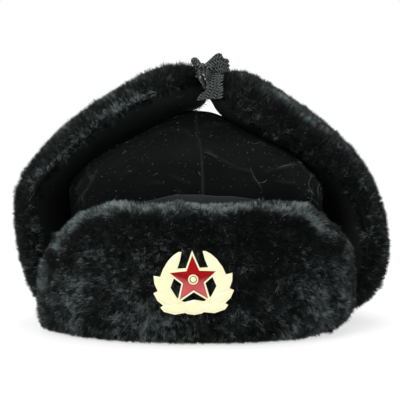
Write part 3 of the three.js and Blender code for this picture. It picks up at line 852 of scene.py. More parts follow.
def combHairs(flap, spots, facing, room, toRim, atRim, rng):  # the way each hair points
    sways = hairSettings["sways"]
    sway = [sum((k * noise.noise_vector(Vector(p) * scale) for scale, k in sways), Vector()) for p in spots]
    way = facing + hairSettings["lean"] * np.array(sway) + np.array(pileSettings[flap]["comb"])
    way += hairSettings["stray"] * rng.standard_normal(spots.shape)
    over = hairSettings["overRim"] * shareBetween(room, hairSettings["rimRoom"], 0) * (atRim > 0)
    return unit(way + (over / room)[:, None] * toRim)


def lengthsOf(flap, spots, facing, way, atRim, rng):  # from the roots to just over the solid's surface
    outside = treeOf(nodes[f"{flap}_fur"])
    reach = np.empty(len(spots))
    for i, (spot, toward) in enumerate(zip(spots, way)):
        hit = outside.ray_cast(Vector(spot), Vector(toward), hairSettings["farthest"])
        reach[i] = hit[3] if hit[3] is not None else hairSettings["open"]
    even = hairSettings["inset"] / np.maximum((way * facing).sum(1), 0.45)
    deepest = hairSettings["deepest"]
    reach -= (1 - hairSettings["relief"]) * np.clip(reach - even, -deepest, deepest)
    length = reach + hairSettings["beyond"] + hairSettings["uneven"] * rng.standard_normal(len(spots))
    length = np.clip(length + mm * sumNear(spots, longer, 4), hairSettings["shortest"], hairSettings["longest"])
    least = rimHairs["length"] + rimHairs["uneven"] * rng.standard_normal(len(spots))
    return np.maximum(length, (atRim > 0.5) * least * mm)


def findLocks(spots):  # the lock that each hair belongs to, and how many there are
    count = len(spots) // hairSettings["hairsInClump"]
    centres = KDTree(count)
    for i in range(count):
        centres.insert(Vector(spots[i]), i)
    centres.balance()
    return np.array([centres.find(Vector(p))[1] for p in spots]), count


def fringeHighlightTone(flap, tips):  # painted highlight on hairs whose tips lie near the flap's fringe line in the picture, and painted shade below it
    if flap not in fringeHighlights:
        return 0
    setting = fringeHighlights[flap]
    away = np.full(len(tips), 1e3)
    for start, end in zip(setting["line"][:-1], setting["line"][1:]):
        away = np.minimum(away, toSegment(tips[:, 0] / mm, tips[:, 2] / mm, start, end)[0])
    scale, strength, shift = toneSettings["fringe"]
    uneven = 1 + strength * noiseAt(tips, scale, shift)
    darker, below, width = setting["darker"]
    tone = setting["lighter"] * uneven / (1 + (away / setting["reach"]) ** 4)
    return tone + darker * bell(away - below, width)


def toneAt(spots, rng, contrast):
    tone = toneSettings["mean"] + toneSettings["grain"] * rng.standard_normal(len(spots))
    for scale, strength in toneSettings["clouds"]:
        tone += contrast * strength * noiseAt(spots, scale, toneSettings["shift"])
    return np.clip(tone + sumNear(spots, sheenAndShadePatches, 2), *toneSettings["ends"])


def pressTips(spots, tips, rng):  # the badge presses the pile flat, and the floor and the crown stop it
    across = ((tips[:, 0] - badgeSpot["x"]) / badgeSpot["halfWidth"]) ** 2
    across += ((tips[:, 2] - badgeSpot["z"]) / badgeSpot["halfHeight"]) ** 2
    pressed = (across < 1) & (tips[:, 1] < badgeSpot["back"])
    tips[pressed, 1] = badgeSpot["back"] + badgeSpot["uneven"] * rng.random(pressed.sum())
    tips[:, 2] = np.maximum(tips[:, 2], hairSettings["tipFloor"])
    crownSkin = treeOf(nodes["crown"])
    clear, deep = hairSettings["crownRoom"]
    for i, tip in enumerate(tips):
        near, up = crownSkin.find_nearest(Vector(tip), deep)[:2]
        if near is not None and (Vector(tip) - near).dot(up) < clear:
            tips[i] = 0.75 * spots[i] + 0.25 * tip


def makeHairs(flap, spots, tips, facing, tone, rng):  # three thin faces for each hair
    along = unit(tips - spots)
    side = unit(np.cross(along, rng.standard_normal(along.shape)))
    third = np.cross(along, side)
    radius = hairSettings["radius"] * (0.7 + 0.6 * rng.random(len(spots)))
    corners = np.empty((len(spots), 4, 3))
    for k in range(3):
        turn = 2 * math.pi * k / 3
        offset = math.cos(turn) * side + math.sin(turn) * third
        corners[:, k] = spots + offset * radius[:, None] - along * hairSettings["sunk"]
    corners[:, 3] = tips
    pieces = 1 + len(spots) // hairSettings["inPiece"]
    for part, chosen in enumerate(np.array_split(np.argsort(spots[:, 0]), pieces)):
        first = 4 * np.arange(len(chosen))[:, None]
        faces = np.concatenate([first + np.array([[k, (k + 1) % 3, 3]]) for k in range(3)], 1).reshape(-1, 3)
        points = settle(flap, corners[chosen].reshape(-1, 3), "pile")
        pile = newMesh(f"{flap}_pile{part + 1}", points, faces)
        up = np.tile([0.0, 0.0, 1.0], len(chosen) * 3)
        spread = np.tile([-0.006, 0.006, 0.0], len(chosen) * 3)
        setMap(pile.data, np.stack([up, np.clip(np.repeat(tone[chosen], 9) + spread, 0, 1)], 1))
        smoothShade(pile)
        softenShading(pile, np.repeat(facing[chosen], 4, axis=0))
        finish(pile, furPile, "fur")


def softenShading(pile, facing):
    own = normalsOf(pile.data)
    mixed = unit(own + hairSettings["softness"] * (facing - own))
    pile.data.normals_split_custom_set_from_vertices(mixed.tolist())


def growPile(flap, roots):
    setting = pileSettings[flap]
    rng = np.random.default_rng(setting["seed"])
    spots, facing, room, toRim = placeHairs(flap, roots, rng)
    atRim = 1 / (1 + (room / mm / rimHairs["reach"]) ** 4)
    if flap == "front_flap":
        middle, start, end = rimHairs["bare"]
        atRim *= shareBetween(np.abs(spots[:, 0] / mm - middle), start, end)
    way = combHairs(flap, spots, facing, room, toRim, atRim, rng)
    tips = spots + way * lengthsOf(flap, spots, facing, way, atRim, rng)[:, None]
    lock, count = findLocks(spots)
    gather = (hairSettings["clump"] + rimHairs["gather"] * atRim) * (0.6 + 0.4 * rng.random(len(spots)))
    tips += (tips[lock] - tips) * gather[:, None]
    tone = toneAt(spots, rng, setting["contrast"]) + fringeHighlightTone(flap, settle(flap, tips.copy(), "pile"))
    spread = hairSettings["lockTone"] * setting["contrast"] * (1 + 0.5 * atRim)
    tone += hairSettings["lockShare"] * (tone[lock] - tone) + spread * rng.standard_normal(count)[lock]
    pressTips(spots, tips, rng)
    makeHairs(flap, spots, tips, facing, tone, rng)
    return len(spots)


flapFaces, flapRoots = {}, {}
for flap in pileSettings:
    flapFaces[flap] = makeFace(flap)
    flapRoots[flap] = makeRoots(flap)
    hairs = growPile(flap, flapRoots[flap])
    movePoints(flapRoots[flap].data, settle(flap, pointsOf(flapRoots[flap].data), "roots"))
    print(flap, "done,", hairs, "hairs")


# Tape: webbing with a herringbone weave, tied in a bow
weave = {
    "column": 2.65,  # width of one column of the herringbone, in mm
    "pitch": 1.9,  # from one slanting rib to the next along the tape
    "slope": 0.82,  # of the ribs over a column
    "ribs": (0.4, 0.56),  # how much they rise and fall, and their mean
    "line": (1.6, 0.35),  # how the height rises from the line between two columns, and what it is there
    "cloud": (0.55, 0.9, 0.5),  # scale of its wear, how much it lightens and the least
    "dark": (0.26, (0.001, 0.0013, 0.0012)),
    "light": (0.86, (0.098, 0.112, 0.109)),
    "bump": (0.8, 0.0004),
}


def makeWebbing():
    material, tree, shader = newMaterial(
        "greyWebbing", Roughness=0.8, Specular_IOR_Level=0.1, Sheen_Weight=0.03, Sheen_Roughness=0.5
    )
    place, across, along = readMap(tree, "tape")
    turns = 2 * math.pi / weave["pitch"]
    zigzag = wireMath(tree, "PINGPONG", across, weave["column"])
    zigzag = wireMath(tree, "MULTIPLY", zigzag, weave["slope"] * turns)
    twill = wireMath(tree, "SINE", wireMath(tree, "MULTIPLY_ADD", along, turns, zigzag))
    ribs = wireMath(tree, "MULTIPLY_ADD", twill, *weave["ribs"])
    fromLine = wireMath(tree, "PINGPONG", across, weave["column"] / 2)
    edge = wireMath(tree, "MINIMUM", wireMath(tree, "MULTIPLY_ADD", fromLine, *weave["line"]), 1.0)
    height = wireMath(tree, "MULTIPLY", ribs, edge)
    scale, change, least = weave["cloud"]
    cloud = tree.nodes.new("ShaderNodeTexNoise")
    setInputs(cloud, {"Scale": scale})
    tree.links.new(place, cloud.inputs["Vector"])
    lightening = wireMath(tree, "MULTIPLY_ADD", cloud.outputs["Fac"], change, least)
    colour = wireRamp(tree, wireMath(tree, "MULTIPLY", height, lightening), (weave["dark"], weave["light"]))
    tree.links.new(colour, shader.inputs["Base Color"])
    wireBump(tree, shader, height, *weave["bump"])
    return material


webbing = makeWebbing()
tapeSettings = {
    "width": 16.0,
    "thick": 1.3,
    "across": 16,  # faces over its width
    "tooth": (0.16, 1.5),  # height and pitch of the edge's small teeth
    "fold": (0.28, 1.3),  # of a gathered tape: its height for each mm of half width, and the most
    "rim": 0.45,  # share of the thickness at the edges
    "leastWeave": 0.62,  # share of the weave's width that a gathered tape keeps
}
# stretches of tape: x, y, z, the way its width runs, and how much of its width shows, in mm
tapes = {
    "rightLoop": [
        (3, -33, 171.4, -0.2, 0.2, 1, 0.38),
        (7.6, -35, 173.8, -0.2, -0.1, 1, 0.6),
        (12.4, -35.4, 176, -0.2, -0.1, 1, 0.8),
        (15, -35.2, 176, -0.1, -0.1, 1, 0.8),
        (16.3, -34.8, 174.9, -0.1, -0.1, 1, 0.6),
        (18.7, -32.8, 174.6, -0.1, -0.1, 1, 0.56),
        (18.5, -29.6, 174.8, -0.1, 0.3, 1, 0.54),
        (12, -28, 176, -0.2, 0.2, 1, 0.6),
        (6.6, -29.5, 174, -0.2, 0.1, 1, 0.5),
        (2.5, -32, 171.5, -0.2, 0, 1, 0.38),
    ],
    "leftLoop": [
        (1.4, -33, 171.6, 0.2, 0.9, 0.3, 0.35),
        (-0.8, -33, 175.4, 0.2, 0.9, 0.4, 0.5),
        (-3.2, -31.6, 178.6, 0.1, 0.95, 0.3, 0.56),
        (-4.9, -31.2, 178, 0, 1, 0.2, 0.56),
        (-3.4, -32, 175.8, 0.1, 0.9, 0.3, 0.5),
        (0.8, -32.6, 171.4, 0.2, 0.9, 0.3, 0.35),
    ],
    "frontEnd": [
        (9, -33, 170.6, 1, 0, -0.2, 0.56),
        (10.2, -35.6, 168.8, 1, 0, -0.14, 0.48),
        (9.4, -38.6, 164.6, 1, 0, 0.06, 0.54),
        (8.8, -40.2, 159, 1, 0.02, 0.16, 0.58),
        (6.9, -40.4, 155.8, 1, 0.04, 0.14, 0.85),
        (5.6, -40.3, 151.6, 1, 0.05, 0.1, 0.97),
    ],
    "wrap": [
        (1.4, -30, 174.4, 1, 0.1, 0.1, 0.5),
        (1.8, -35, 175.2, 1, 0.1, 0.06, 0.6),
        (2.8, -38.4, 174.4, 1, 0.1, 0, 0.7),
        (3.8, -39, 172.8, 1, 0.1, -0.14, 0.72),
        (4.2, -36.8, 171.6, 1, 0.1, -0.14, 0.66),
        (4, -33.4, 172, 1, 0.1, -0.1, 0.5),
    ],
    # the short end, gathered in three narrow pleats
    "firstPleat": [
        (1.6, -36.4, 172.4, 0.8, 0.3, -0.4, 0.2),
        (0.6, -39.6, 169, 0.8, 0.3, -0.4, 0.2),
        (0.6, -41, 165, 0.9, 0.3, 0, 0.16),
        (2.4, -41.4, 161.6, 0.9, 0.3, 0.1, 0.12),
        (3.6, -41.2, 158.4, 0.9, 0.3, 0.1, 0.07),
    ],
    "secondPleat": [
        (3.6, -36.8, 172.4, 0.8, 0.3, -0.4, 0.14),
        (3, -39.8, 169.4, 0.8, 0.3, -0.3, 0.14),
        (3.2, -41.2, 167.2, 0.9, 0.3, 0, 0.1),
        (3.4, -41.4, 165.8, 0.9, 0.3, 0.1, 0.05),
    ],
    "thirdPleat": [
        (5.8, -37, 172.2, 0.8, 0.3, -0.4, 0.18),
        (5.6, -39.6, 169.2, 0.8, 0.3, -0.3, 0.19),
        (4.9, -40.8, 166.4, 0.9, 0.3, 0, 0.13),
        (4.2, -41, 163.4, 0.9, 0.3, 0.1, 0.05),
    ],
    "rightStretch": [
        (3.9, -4, 160.5, 0, 0.15, 1, 0.75),
        (3.8, -14, 162.4, 0, 0.15, 1, 0.75),
        (3.7, -21, 165.6, 0, 0.1, 1, 0.6),
        (3.5, -27.4, 168.6, 0, 0, 1, 0.42),
    ],
    "leftStretch": [
        (1.2, -4, 160.5, 0, 0.15, 1, 0.75),
        (1.4, -14, 162.4, 0, 0.15, 1, 0.75),
        (1.6, -21, 165.6, 0, 0.1, 1, 0.6),
        (1.8, -27.4, 168.6, 0, 0, 1, 0.42),
    ],
}
# rows along each piece of the bow
bowPieces = {
    "rightLoop": 80,
    "leftLoop": 56,
    "frontEnd": 70,
    "wrap": 44,
    "firstPleat": 40,
    "secondPleat": 34,
    "thirdPleat": 34,
}
# the looped edge of the long end: how many loops, their share of the way along it, and their length, rise,
# half sizes and depth in the edge in mm
edgeLoops = {"count": 9, "along": (0.27, 0.985), "length": 2.2, "rise": 0.9, "half": (0.78, 0.62), "sunk": 0.7}
knotSettings = {
    "at": (2, -33, 170),
    "size": (5.2, 3.4, 4.6),
    "squareness": 0.78,
    "wraps": (5, 0.8, 0.5),  # number, slant and depth of the tape's wraps round it
    "around": 4.5,  # mm of weave for each radian
}


def smoothRows(rows, count):  # one smooth curve through the rows, as in the solids
    rows = np.array(rows, float)
    last = len(rows) - 1
    found = []
    for place in np.linspace(0, last, count):
        start = min(int(place), last - 1)
        f = place - start
        a, b, c, d = (rows[min(max(start + k, 0), last)] for k in (-1, 0, 1, 2))
        bend = (2 * a - 5 * b + 4 * c - d) * f**2 + (3 * b - a - 3 * c + d) * f**3
        found.append(b + 0.5 * ((c - a) * f + bend))
    return np.array(found)


def makeTape(name, rows, count):
    path = smoothRows(rows, count)
    middle, across = path[:, :3], unit(path[:, 3:6])
    out = unit(np.cross(np.gradient(middle, axis=0), across))
    travelled = np.concatenate([[0], np.cumsum(np.linalg.norm(np.diff(middle, axis=0), axis=1))])
    columns, width = tapeSettings["across"], tapeSettings["width"]
    half, thick = width * path[:, 6] / 2, tapeSettings["thick"] / 2
    tall, pitch = tapeSettings["tooth"]
    steep, most = tapeSettings["fold"]
    points, places = [], []
    for i in range(count):
        edge = half[i] + tall * math.sin(2 * math.pi * travelled[i] / pitch)
        slack = max(0.0, 1 - half[i] / (width / 2))  # a gathered tape has folds along it
        for face in (1, -1):
            for k in range(columns + 1):
                u = (1 - 2 * k / columns) * face
                fold = slack * min(most, steep * half[i]) * math.cos(3 * math.pi * u) * (1 - u * u)
                rim = thick * (tapeSettings["rim"] if k in (0, columns) else 1.0)
                points.append(middle[i] + across[i] * u * edge + out[i] * (face * rim + fold))
                places.append((u * max(edge, tapeSettings["leastWeave"] * width / 2), travelled[i]))
    size = 2 * (columns + 1)
    faces = []
    for i in range(count - 1):
        for k in range(size):
            n = (k + 1) % size
            faces.append((i * size + k, i * size + n, (i + 1) * size + n, (i + 1) * size + k))
    for i in (0, count - 1):  # the two cut ends
        for k in range(columns):
            quad = (i * size + k, i * size + k + 1, i * size + size - 2 - k, i * size + size - 1 - k)
            faces.append(quad if i else quad[::-1])
    tape = newMesh(name, np.array(points) * mm + hatShift, np.array(faces))
    setTapeMap(tape, np.array(places))
    bm = bmesh.new()
    bm.from_mesh(tape.data)
    bmesh.ops.recalc_face_normals(bm, faces=bm.faces)
    bm.to_mesh(tape.data)
    bm.free()
    smoothShade(tape, 60)
    return tape


def setTapeMap(piece, places):  # across and along the tape, in mm, for each point of the mesh
    while piece.data.uv_layers:
        piece.data.uv_layers.remove(piece.data.uv_layers[0])
    corner = np.empty(len(piece.data.loops), int)
    piece.data.loops.foreach_get("vertex_index", corner)
    setMap(piece.data, places[corner], "tape")


def makeEdgeLoops():  # small slanting loops of weft along the right edge of the long end
    path = smoothRows(tapes["frontEnd"], 200)
    deep, tall = edgeLoops["half"]
    lit = 1.25 * weave["pitch"] - weave["column"] / 2  # a place on the web where a rib is light
    loops = []
    for share in np.linspace(*edgeLoops["along"], edgeLoops["count"]):
        row = path[round(share * (len(path) - 1))]
        across = row[3:6] / np.linalg.norm(row[3:6])
        foot = row[:3] + across * (tapeSettings["width"] * row[6] / 2 - edgeLoops["sunk"])
        loop, points = addBall(14, 10)
        f = (points[:, 0] + 1) / 2
        taper = np.sqrt(np.clip(1 - points[:, 0] ** 2, 0, 1)) ** -0.4 * (1.05 - 0.35 * f)
        taper = np.where(np.abs(points[:, 0]) > 0.999, 1, taper)
        shaped = foot + across * (f * (edgeLoops["length"] + edgeLoops["sunk"]))[:, None]
        shaped[:, 1] += deep * points[:, 1] * taper
        shaped[:, 2] += tall * points[:, 2] * taper + edgeLoops["rise"] * f**1.5
        setTapeMap(loop, np.stack([weave["column"] / 2 + 0 * f, lit + 0.25 * (f - 0.5)], 1))
        reshape(loop, shaped * mm + hatShift)
        loops.append(loop)
    return loops


def makeKnot():
    knot, points = addBall(48, 28)
    wraps, slant, depth = knotSettings["wraps"]
    turn = np.arctan2(points[:, 2], points[:, 0] + 1e-9)
    flat = np.sqrt(np.clip(1 - points[:, 1] ** 2, 0, 1))
    wave = np.cos(points[:, 0] * math.pi * wraps + slant * points[:, 2])
    squared = np.sign(points) * np.abs(points) ** knotSettings["squareness"] * np.array(knotSettings["size"])
    setTapeMap(knot, np.stack([turn * knotSettings["around"], squared[:, 0]], 1))
    points = squared + points * (depth * wave * flat)[:, None]
    reshape(knot, (points + np.array(knotSettings["at"])) * mm + hatShift)
    return knot


strips = [makeTape(name, tapes[name], count) for name, count in bowPieces.items()]
bow = joinPieces([makeKnot(), *strips, *makeEdgeLoops()], "tape_bow")
finish(bow, webbing, "webbing", "tie_bow")
for side in ("right", "left"):
    stretch = makeTape(f"tape_{side}", tapes[f"{side}Stretch"], 50)
    finish(stretch, webbing, "webbing", f"tie_tape_{side}")
print("tape done")


# Badge: gilt wreath and star, with red enamel in the star
badgeSettings = {
    "at": (-3.9, -129.8, 40.8),  # middle of the star on the badge's back, in mm
    "tilt": 2.3,  # in degrees, anticlockwise seen from the front
    "plate": 1.2,
    "bevel": 0.00022,
    "star": (17.6, 7.6),
    "inset": 1.3,
    "enamelDome": (0.45, 0.7),  # height, and how far from the edge it rises
    "opening": 3.25,  # radius that the enamel leaves for the stud
    "leafHeight": 0.4,
    # leaves of the right half, seen from the front: foot, tip and width in mm
    "leaves": [
        ((4.4, -17.6), (20.0, -16.5), 5.2),
        ((9.6, -15.0), (23.7, -7.9), 5.0),
        ((14.6, -9.0), (23.2, 2.4), 5.8),
        ((15.6, -5.0), (15.9, 8.6), 6.4),
        ((16.0, 1.4), (7.4, 16.5), 5.8),
    ],
    "band": (5.4, -16.8, 3.9, 0.85),  # half width, height on the badge, half height and bulge
    "stud": (1.75, 2.0, 0.95),  # radius, height of its edge and of its dome
    "beads": (14, 2.62, 0.4, 2.05),  # number, their ring's radius, their own and their height
    "groove": (1.98, 0.3, 0.6, 2.02),  # radius, half width, flatness and height
    "gilt": ((0.84, 0.8, 0.52), (0.9, 0.87, 0.6), 90, 1400),
    "giltCreases": (300, 2200, 0.08, 0.0002),
    "recessShadeGilt": ((0.16, 0.12, 0.05), (0.36, 0.29, 0.14), 400, 1800),
}
enamelSettings = {
    # red, from 8 mm below the star's middle to 4 mm above it, along a line that is lower in the middle; the pinker
    # low part is a painted reflection of the floor
    "redsAndReflection": (
        (0, (0.5, 0.088, 0.098)),
        (0.44, (0.43, 0.06, 0.067)),
        (0.6, (0.245, 0.0025, 0.0045)),
        (1, (0.33, 0.0015, 0.0035)),
    ),
    "line": (-0.34, 83.0, 0.66),  # its slope, and how heights in metres run over the reds
    "cloud": (260, 0.2),
}
badgeAt = np.array(badgeSettings["at"]) + hatShift / mm
badgeTurn = math.radians(badgeSettings["tilt"])


def makeEnamel():
    material, tree, shader = newMaterial(
        "redEnamel", Roughness=0.25, Specular_IOR_Level=0.06, Coat_Weight=0.03, Coat_Roughness=0.1
    )
    add, link = tree.nodes.new, tree.links.new
    place, split, cloud = add("ShaderNodeTexCoord"), add("ShaderNodeSeparateXYZ"), add("ShaderNodeTexNoise")
    link(place.outputs["Object"], split.inputs["Vector"])
    link(place.outputs["Object"], cloud.inputs["Vector"])
    slope, steep, start = enamelSettings["line"]
    aside = wireMath(tree, "ABSOLUTE", wireMath(tree, "SUBTRACT", split.outputs["X"], float(badgeAt[0] * mm)))
    height = wireMath(tree, "SUBTRACT", split.outputs["Z"], float(badgeAt[2] * mm))
    height = wireMath(tree, "MULTIPLY_ADD", aside, slope, height)
    # pinker towards the bottom, as painted reflection
    red = wireRamp(tree, wireMath(tree, "MULTIPLY_ADD", height, steep, start), enamelSettings["redsAndReflection"])
    scale, strength = enamelSettings["cloud"]
    setInputs(cloud, {"Scale": scale})
    link(wireMix(tree, "MULTIPLY", strength, red, cloud.outputs["Fac"]), shader.inputs["Base Color"])
    return material


def turned(across, up, turn):
    return across * math.cos(turn) - up * math.sin(turn), across * math.sin(turn) + up * math.cos(turn)


def ontoBadge(across, up, out):  # from the badge's own directions to the hat's places
    across, up = turned(across, up, badgeTurn)
    return np.stack([badgeAt[0] + across, badgeAt[1] - out, badgeAt[2] + up], 1) * mm


def makeLeaf(foot, tip, width, side):  # a pointed leaf in low relief, with a groove for its middle vein
    leaf = addPrimitive("uv_sphere", segments=32, ring_count=20, radius=1, rotation=(0, math.radians(90), 0))
    bpy.ops.object.transform_apply(location=False, rotation=True, scale=False)
    points = pointsOf(leaf.data)
    along = (points[:, 0] + 1) / 2
    taper = np.sin(math.pi * along**0.75) ** 0.35 * np.where(along > 0.5, 1.15 - 0.35 * along, 1)
    beside = points[:, 1] * taper
    vein = bell(beside, 0.1) * np.clip(1.1 - along, 0, 1)
    ribs = 0.1 * np.cos(34 * (along - 0.35 * np.abs(beside))) * (1 - beside**2)
    top = np.clip(points[:, 2], 0, 1) * (1 - 0.4 * vein + ribs)
    out = np.where(points[:, 2] > 0, badgeSettings["leafHeight"] * top, 0.3 * points[:, 2])
    ahead = np.array(tip) - np.array(foot)
    normal = np.array([-ahead[1], ahead[0]]) / np.linalg.norm(ahead)
    flat = np.array(foot) + along[:, None] * ahead + (beside * width / 2)[:, None] * normal
    if side < 0:
        leaf.data.flip_normals()
    reshape(leaf, ontoBadge(side * flat[:, 0], flat[:, 1], badgeSettings["plate"] + out))
    return leaf


def makeBand():  # the ribbon that ties the two branches below the star
    band, points = addBall(48, 24)
    half, low, tall, bulge = badgeSettings["band"]
    across, out, up = points[:, 0], points[:, 1], points[:, 2]
    folds = 0.14 * np.cos(7 * across) * (1 - across**2)
    out = np.where(out < 0, bulge * out * (1 + folds), 0.3 * out)
    wide = half * np.sign(across) * np.abs(across) ** 0.9
    reshape(band, ontoBadge(wide, low + tall * up, badgeSettings["plate"] - out))
    return band


def makeStud():  # a plain domed stud in a beaded ring
    stud, points = addBall(40, 20)
    radius, edge, dome = badgeSettings["stud"]
    x, y, z = points.T
    reshape(stud, ontoBadge(radius * x, radius * z, edge - dome * np.minimum(y, 0.3)))
    pieces = [stud]
    count, ring, size, high = badgeSettings["beads"]
    for turn in 2 * math.pi * np.arange(count) / count:
        bead, points = addBall(12, 8)
        x, y, z = size * points.T
        reshape(bead, ontoBadge(x + ring * math.cos(turn), z + ring * math.sin(turn), high - y))
        pieces.append(bead)
    return pieces


def makeBadgeMetal(material):
    plate = mergedCopy("badge_wreath_and_star", "badge_plate")
    editFaces(plate, bpy.ops.mesh.dissolve_limited, angle_limit=math.radians(2))
    applyModifier(plate, "BEVEL", width=badgeSettings["bevel"], segments=2, limit_method="ANGLE")
    smoothShade(plate, 35)
    leaves = [makeLeaf(*leaf, side) for leaf in badgeSettings["leaves"] for side in (1, -1)]
    badge = joinPieces([plate, *leaves, makeBand(), *makeStud()], "badge_gilt")
    finish(badge, material, "gilt", "badge_wreath_and_star")


def starOutline(outer, inner):
    turns = [(math.pi / 2 + i * math.pi / 5, inner if i % 2 else outer) for i in range(10)]
    return [(radius * math.cos(turn), radius * math.sin(turn)) for turn, radius in turns]


def makeStarField(material):  # the enamel swells between the star's rim and the stud
    field = mergedCopy("badge_enamel", "badge_red")
    applyModifier(field, "SUBSURF", levels=3, render_levels=3, subdivision_type="SIMPLE")
    points = pointsOf(field.data) / mm - badgeAt
    across, up = turned(points[:, 0], points[:, 2], -badgeTurn)
    out = -points[:, 1]
    outer, inner = badgeSettings["star"]
    corners = starOutline(outer - 2.6 * badgeSettings["inset"], inner - badgeSettings["inset"])
    away = np.hypot(across, up) - badgeSettings["opening"]
    for start, end in zip(corners, corners[1:] + corners[:1]):
        away = np.minimum(away, toSegment(across, up, start, end)[0])
    dome, slope = badgeSettings["enamelDome"]
    swell = dome * (1 - np.exp(-np.maximum(away, 0) / slope))
    out = np.where(out > out.max() - 0.05, out - 0.05 + swell, out)
    reshape(field, ontoBadge(across, up, out), 40)
    finish(field, material, "enamel", "badge_enamel")


def makeGroove(material):  # a ring of darker gilt in the recess between the stud and its beads, as painted shade
    radius, half, flatness, high = badgeSettings["groove"]
    groove = addPrimitive("torus", major_radius=radius, minor_radius=half, major_segments=48, minor_segments=12)
    x, y, z = pointsOf(groove.data).T
    reshape(groove, ontoBadge(x, y, flatness * z + high))
    groove.name = groove.data.name = "badge_groove"
    finish(groove, material, "gilt")


gilt = newMaterial(
    "paleGilt", tones=badgeSettings["gilt"], creases=badgeSettings["giltCreases"], Metallic=1.0, Roughness=0.42
)[0]
makeBadgeMetal(gilt)
makeStarField(makeEnamel())
makeGroove(newMaterial("recessShadeGilt", tones=badgeSettings["recessShadeGilt"], Metallic=1.0, Roughness=0.6)[0])
print("badge done")


# Lint and loose fibres on the velour, pale specks among the fur's tips as painted glints, and the frayed short end
# of the tape
lintAndGlintSettings = {
    "seed": 21,
    "radius": 0.00006,
    "pinned": 0.000035,
    "over": 0.0002,  # how far they lie over the surface
    "speck": (0.0002, 0.0006),  # the least length, and how much longer it can be
    "thread": (0.0004, 0.0036),
    "above": 0.084,  # on the crown
    "facing": (0.3, -0.5, 0.005),  # elsewhere: the most to the back, the least up, and the least height
    "lintAndGlints": ((0.1, 0.11, 0.11), (0.5, 0.54, 0.535), 220, 900),
    "fray": ((0.26, 0.28, 0.275), (0.72, 0.75, 0.74), 300, 1500),
}
# piece, specks, threads and how far they lie over it; the specks over the fur's roots are painted glints among the
# hair tips
lintAndGlintSpots = [
    (crown, 900, 90, 0),
    # pale specks lifted among the hair tips, as painted glints
    (flapRoots["front_flap"], 460, 0, 0.0034),
    (flapRoots["ear_flap_left"], 160, 0, 0.0034),
    (flapRoots["ear_flap_right"], 200, 0, 0.0034),
    (flapFaces["ear_flap_left"], 60, 8, 0),
    (flapFaces["ear_flap_right"], 60, 8, 0),
]
# fibres seen from the front, as points of the picture that lie on the velour
seenFibres = [
    [(250, 168), (254, 177), (258, 183), (262.5, 190)],
    [(267, 180), (263, 182.5), (258, 183)],
    [(203, 152), (210, 154), (217, 158)],
    [(278, 168), (286, 165.5), (295, 165)],
    [(305, 190), (310, 191), (315, 195)],
    [(249, 141.5), (255, 144), (261, 142.5), (266, 145.5)],
    [(308, 168), (311, 176), (308, 185), (312, 193), (310, 203)],
    [(318, 170), (321, 180), (317, 190), (321, 199)],
    [(306, 197), (314, 200), (319, 207)],
    [(165.4, 119.6), (166.4, 120.4)],
    [(176, 96), (180, 97), (183, 95.5)],
    [(178, 104), (183, 105.5)],
]
# frayed ends of the tape's threads, in mm, and their radius
frayed = [
    ([(0.7, -41, 167.2), (0.2, -41.6, 166.1), (0.2, -41.8, 165.2)], 0.26),
    ([(-0.2, -41, 166.4), (-0.4, -41.4, 165.4)], 0.17),
    ([(0.5, -41.4, 164.5), (0.7, -41.9, 163.4), (1.1, -42, 162.7)], 0.18),
    ([(1.7, -41, 168.5), (2.6, -41.9, 167.9), (3.1, -42, 167)], 0.22),
    ([(3.2, -41.4, 166.5), (3.5, -42, 165.4), (3.7, -42, 164.5)], 0.22),
    ([(4.6, -41.4, 160.2), (4.8, -41.8, 159.3)], 0.14),
]


def makeFibre(spots, radius, sides=3, rows=12):  # a thin closed thread through a few places
    path = smoothRows(spots, rows)
    along = unit(np.gradient(path, axis=0))
    side = unit(np.cross(along, [0.31, 0.52, 0.79]))
    third = np.cross(along, side)
    count = len(path)
    size = radius * (1 - 0.75 * np.abs(np.linspace(-1, 1, count)) ** 3)[:, None]
    turns = 2 * math.pi * np.arange(sides) / sides
    points = np.stack([path + size * (math.cos(t) * side + math.sin(t) * third) for t in turns], 1).reshape(-1, 3)
    faces = []
    for i in range(count - 1):
        for k in range(sides):
            a, b = sides * i + k, sides * i + (k + 1) % sides
            faces += [(a, b, b + sides), (a, b + sides, a + sides)]
    last = sides * (count - 1)
    for k in range(1, sides - 1):
        faces += [(0, k + 1, k), (last, last + k, last + k + 1)]
    return points, np.array(faces)


def joinFibres(fibres, name, material, slot):
    firsts = np.cumsum([0] + [len(points) for points, faces in fibres])
    faces = np.concatenate([faces + first for (points, faces), first in zip(fibres, firsts)])
    piece = newMesh(name, np.concatenate([points for points, faces in fibres]), faces)
    smoothShade(piece)
    finish(piece, material, slot)


def makeSpeck(spot, up, length, radius, rng, rows):  # a short curved fibre that lies on the surface
    way = np.cross(up, rng.standard_normal(3))
    way /= np.linalg.norm(way)
    aside, bend = np.cross(up, way), rng.uniform(-1.2, 1.2)
    middle = spot + up * lintAndGlintSettings["over"]
    path = [middle + way * s * length + aside * bend * length * s * s for s in (-0.5, 0, 0.5)]
    return makeFibre(path, radius, rows=rows)


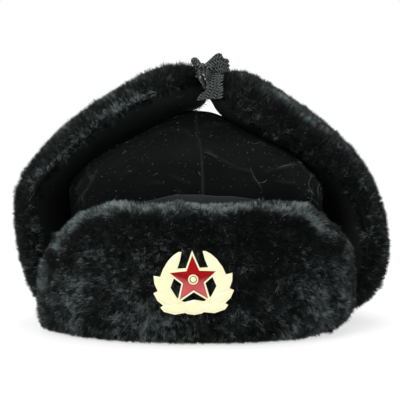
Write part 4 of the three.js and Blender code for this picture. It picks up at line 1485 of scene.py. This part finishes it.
def scatteredLintAndGlints(rng):
    fibres, radius = [], lintAndGlintSettings["radius"]
    toBack, least, low = lintAndGlintSettings["facing"]
    for source, specks, threads, lift in lintAndGlintSpots:
        spots, facing = scatter(source.data, (specks + threads) * 40, rng)
        keep = (facing[:, 1] < toBack) & (facing[:, 2] > least) & (spots[:, 2] > low)  # where it wouldn't fall off
        if source == crown:
            outside = ((spots - np.array([0, 0, 0.05])) * facing).sum(1) > 0
            keep = (spots[:, 2] > lintAndGlintSettings["above"]) & outside
        spots, facing = spots[keep][: specks + threads], facing[keep][: specks + threads]
        for i, (spot, up) in enumerate(zip(spots, facing)):
            kind, thickest, rows = ("speck", 2.2, 4) if i < specks else ("thread", 1.0, 9)
            shortest, more = lintAndGlintSettings[kind]
            length = shortest + more * rng.random() ** 2
            thick = radius * rng.uniform(0.7, thickest)
            fibres.append(makeSpeck(spot + lift * up, up, length, thick, rng, rows))
    return fibres


def pinnedLint(source, pictured):  # fibres whose places are points of the picture
    eye, back, up = viewAxes()
    half = viewSettings["points"] / 2
    scale = viewSettings["points"] * viewSettings["lens"] / viewSettings["sensor"]
    skins, fibres = [treeOf(piece) for piece in source], []
    for line in pictured:
        path = []
        for x, y in smoothRows([(*spot, 0) for spot in line], 3 * len(line))[:, :2]:
            toward = Vector(np.array([(x - half) / scale, 0, 0]) + up * (half - y) / scale - back).normalized()
            hits = [skin.ray_cast(Vector(eye), toward) for skin in skins]
            hits = [hit for hit in hits if hit[0] is not None]
            if hits:
                nearest = min(hits, key=lambda hit: hit[3])
                path.append(np.array(nearest[0] + nearest[1] * lintAndGlintSettings["over"]))
        if len(path) > 2:
            fibres.append(makeFibre(path, lintAndGlintSettings["pinned"]))
    return fibres


lintAndGlintMaterial = newMaterial("paleLintAndGlints", tones=lintAndGlintSettings["lintAndGlints"], Roughness=0.9, Specular_IOR_Level=0.1)[0]
frayMaterial = newMaterial("frayedThread", tones=lintAndGlintSettings["fray"], Roughness=0.85, Specular_IOR_Level=0.1)[0]
lintAndGlints = scatteredLintAndGlints(np.random.default_rng(lintAndGlintSettings["seed"]))
lintAndGlints += pinnedLint([crown, *flapFaces.values()], seenFibres)
joinFibres(lintAndGlints, "lint_and_glint_fibres", lintAndGlintMaterial, "velour")
frays = [makeFibre(np.array(spots) * mm + hatShift, radius * mm, 6) for spots, radius in frayed]
joinFibres(frays, "tape_frayed_end", frayMaterial, "webbing")
print("lint done")
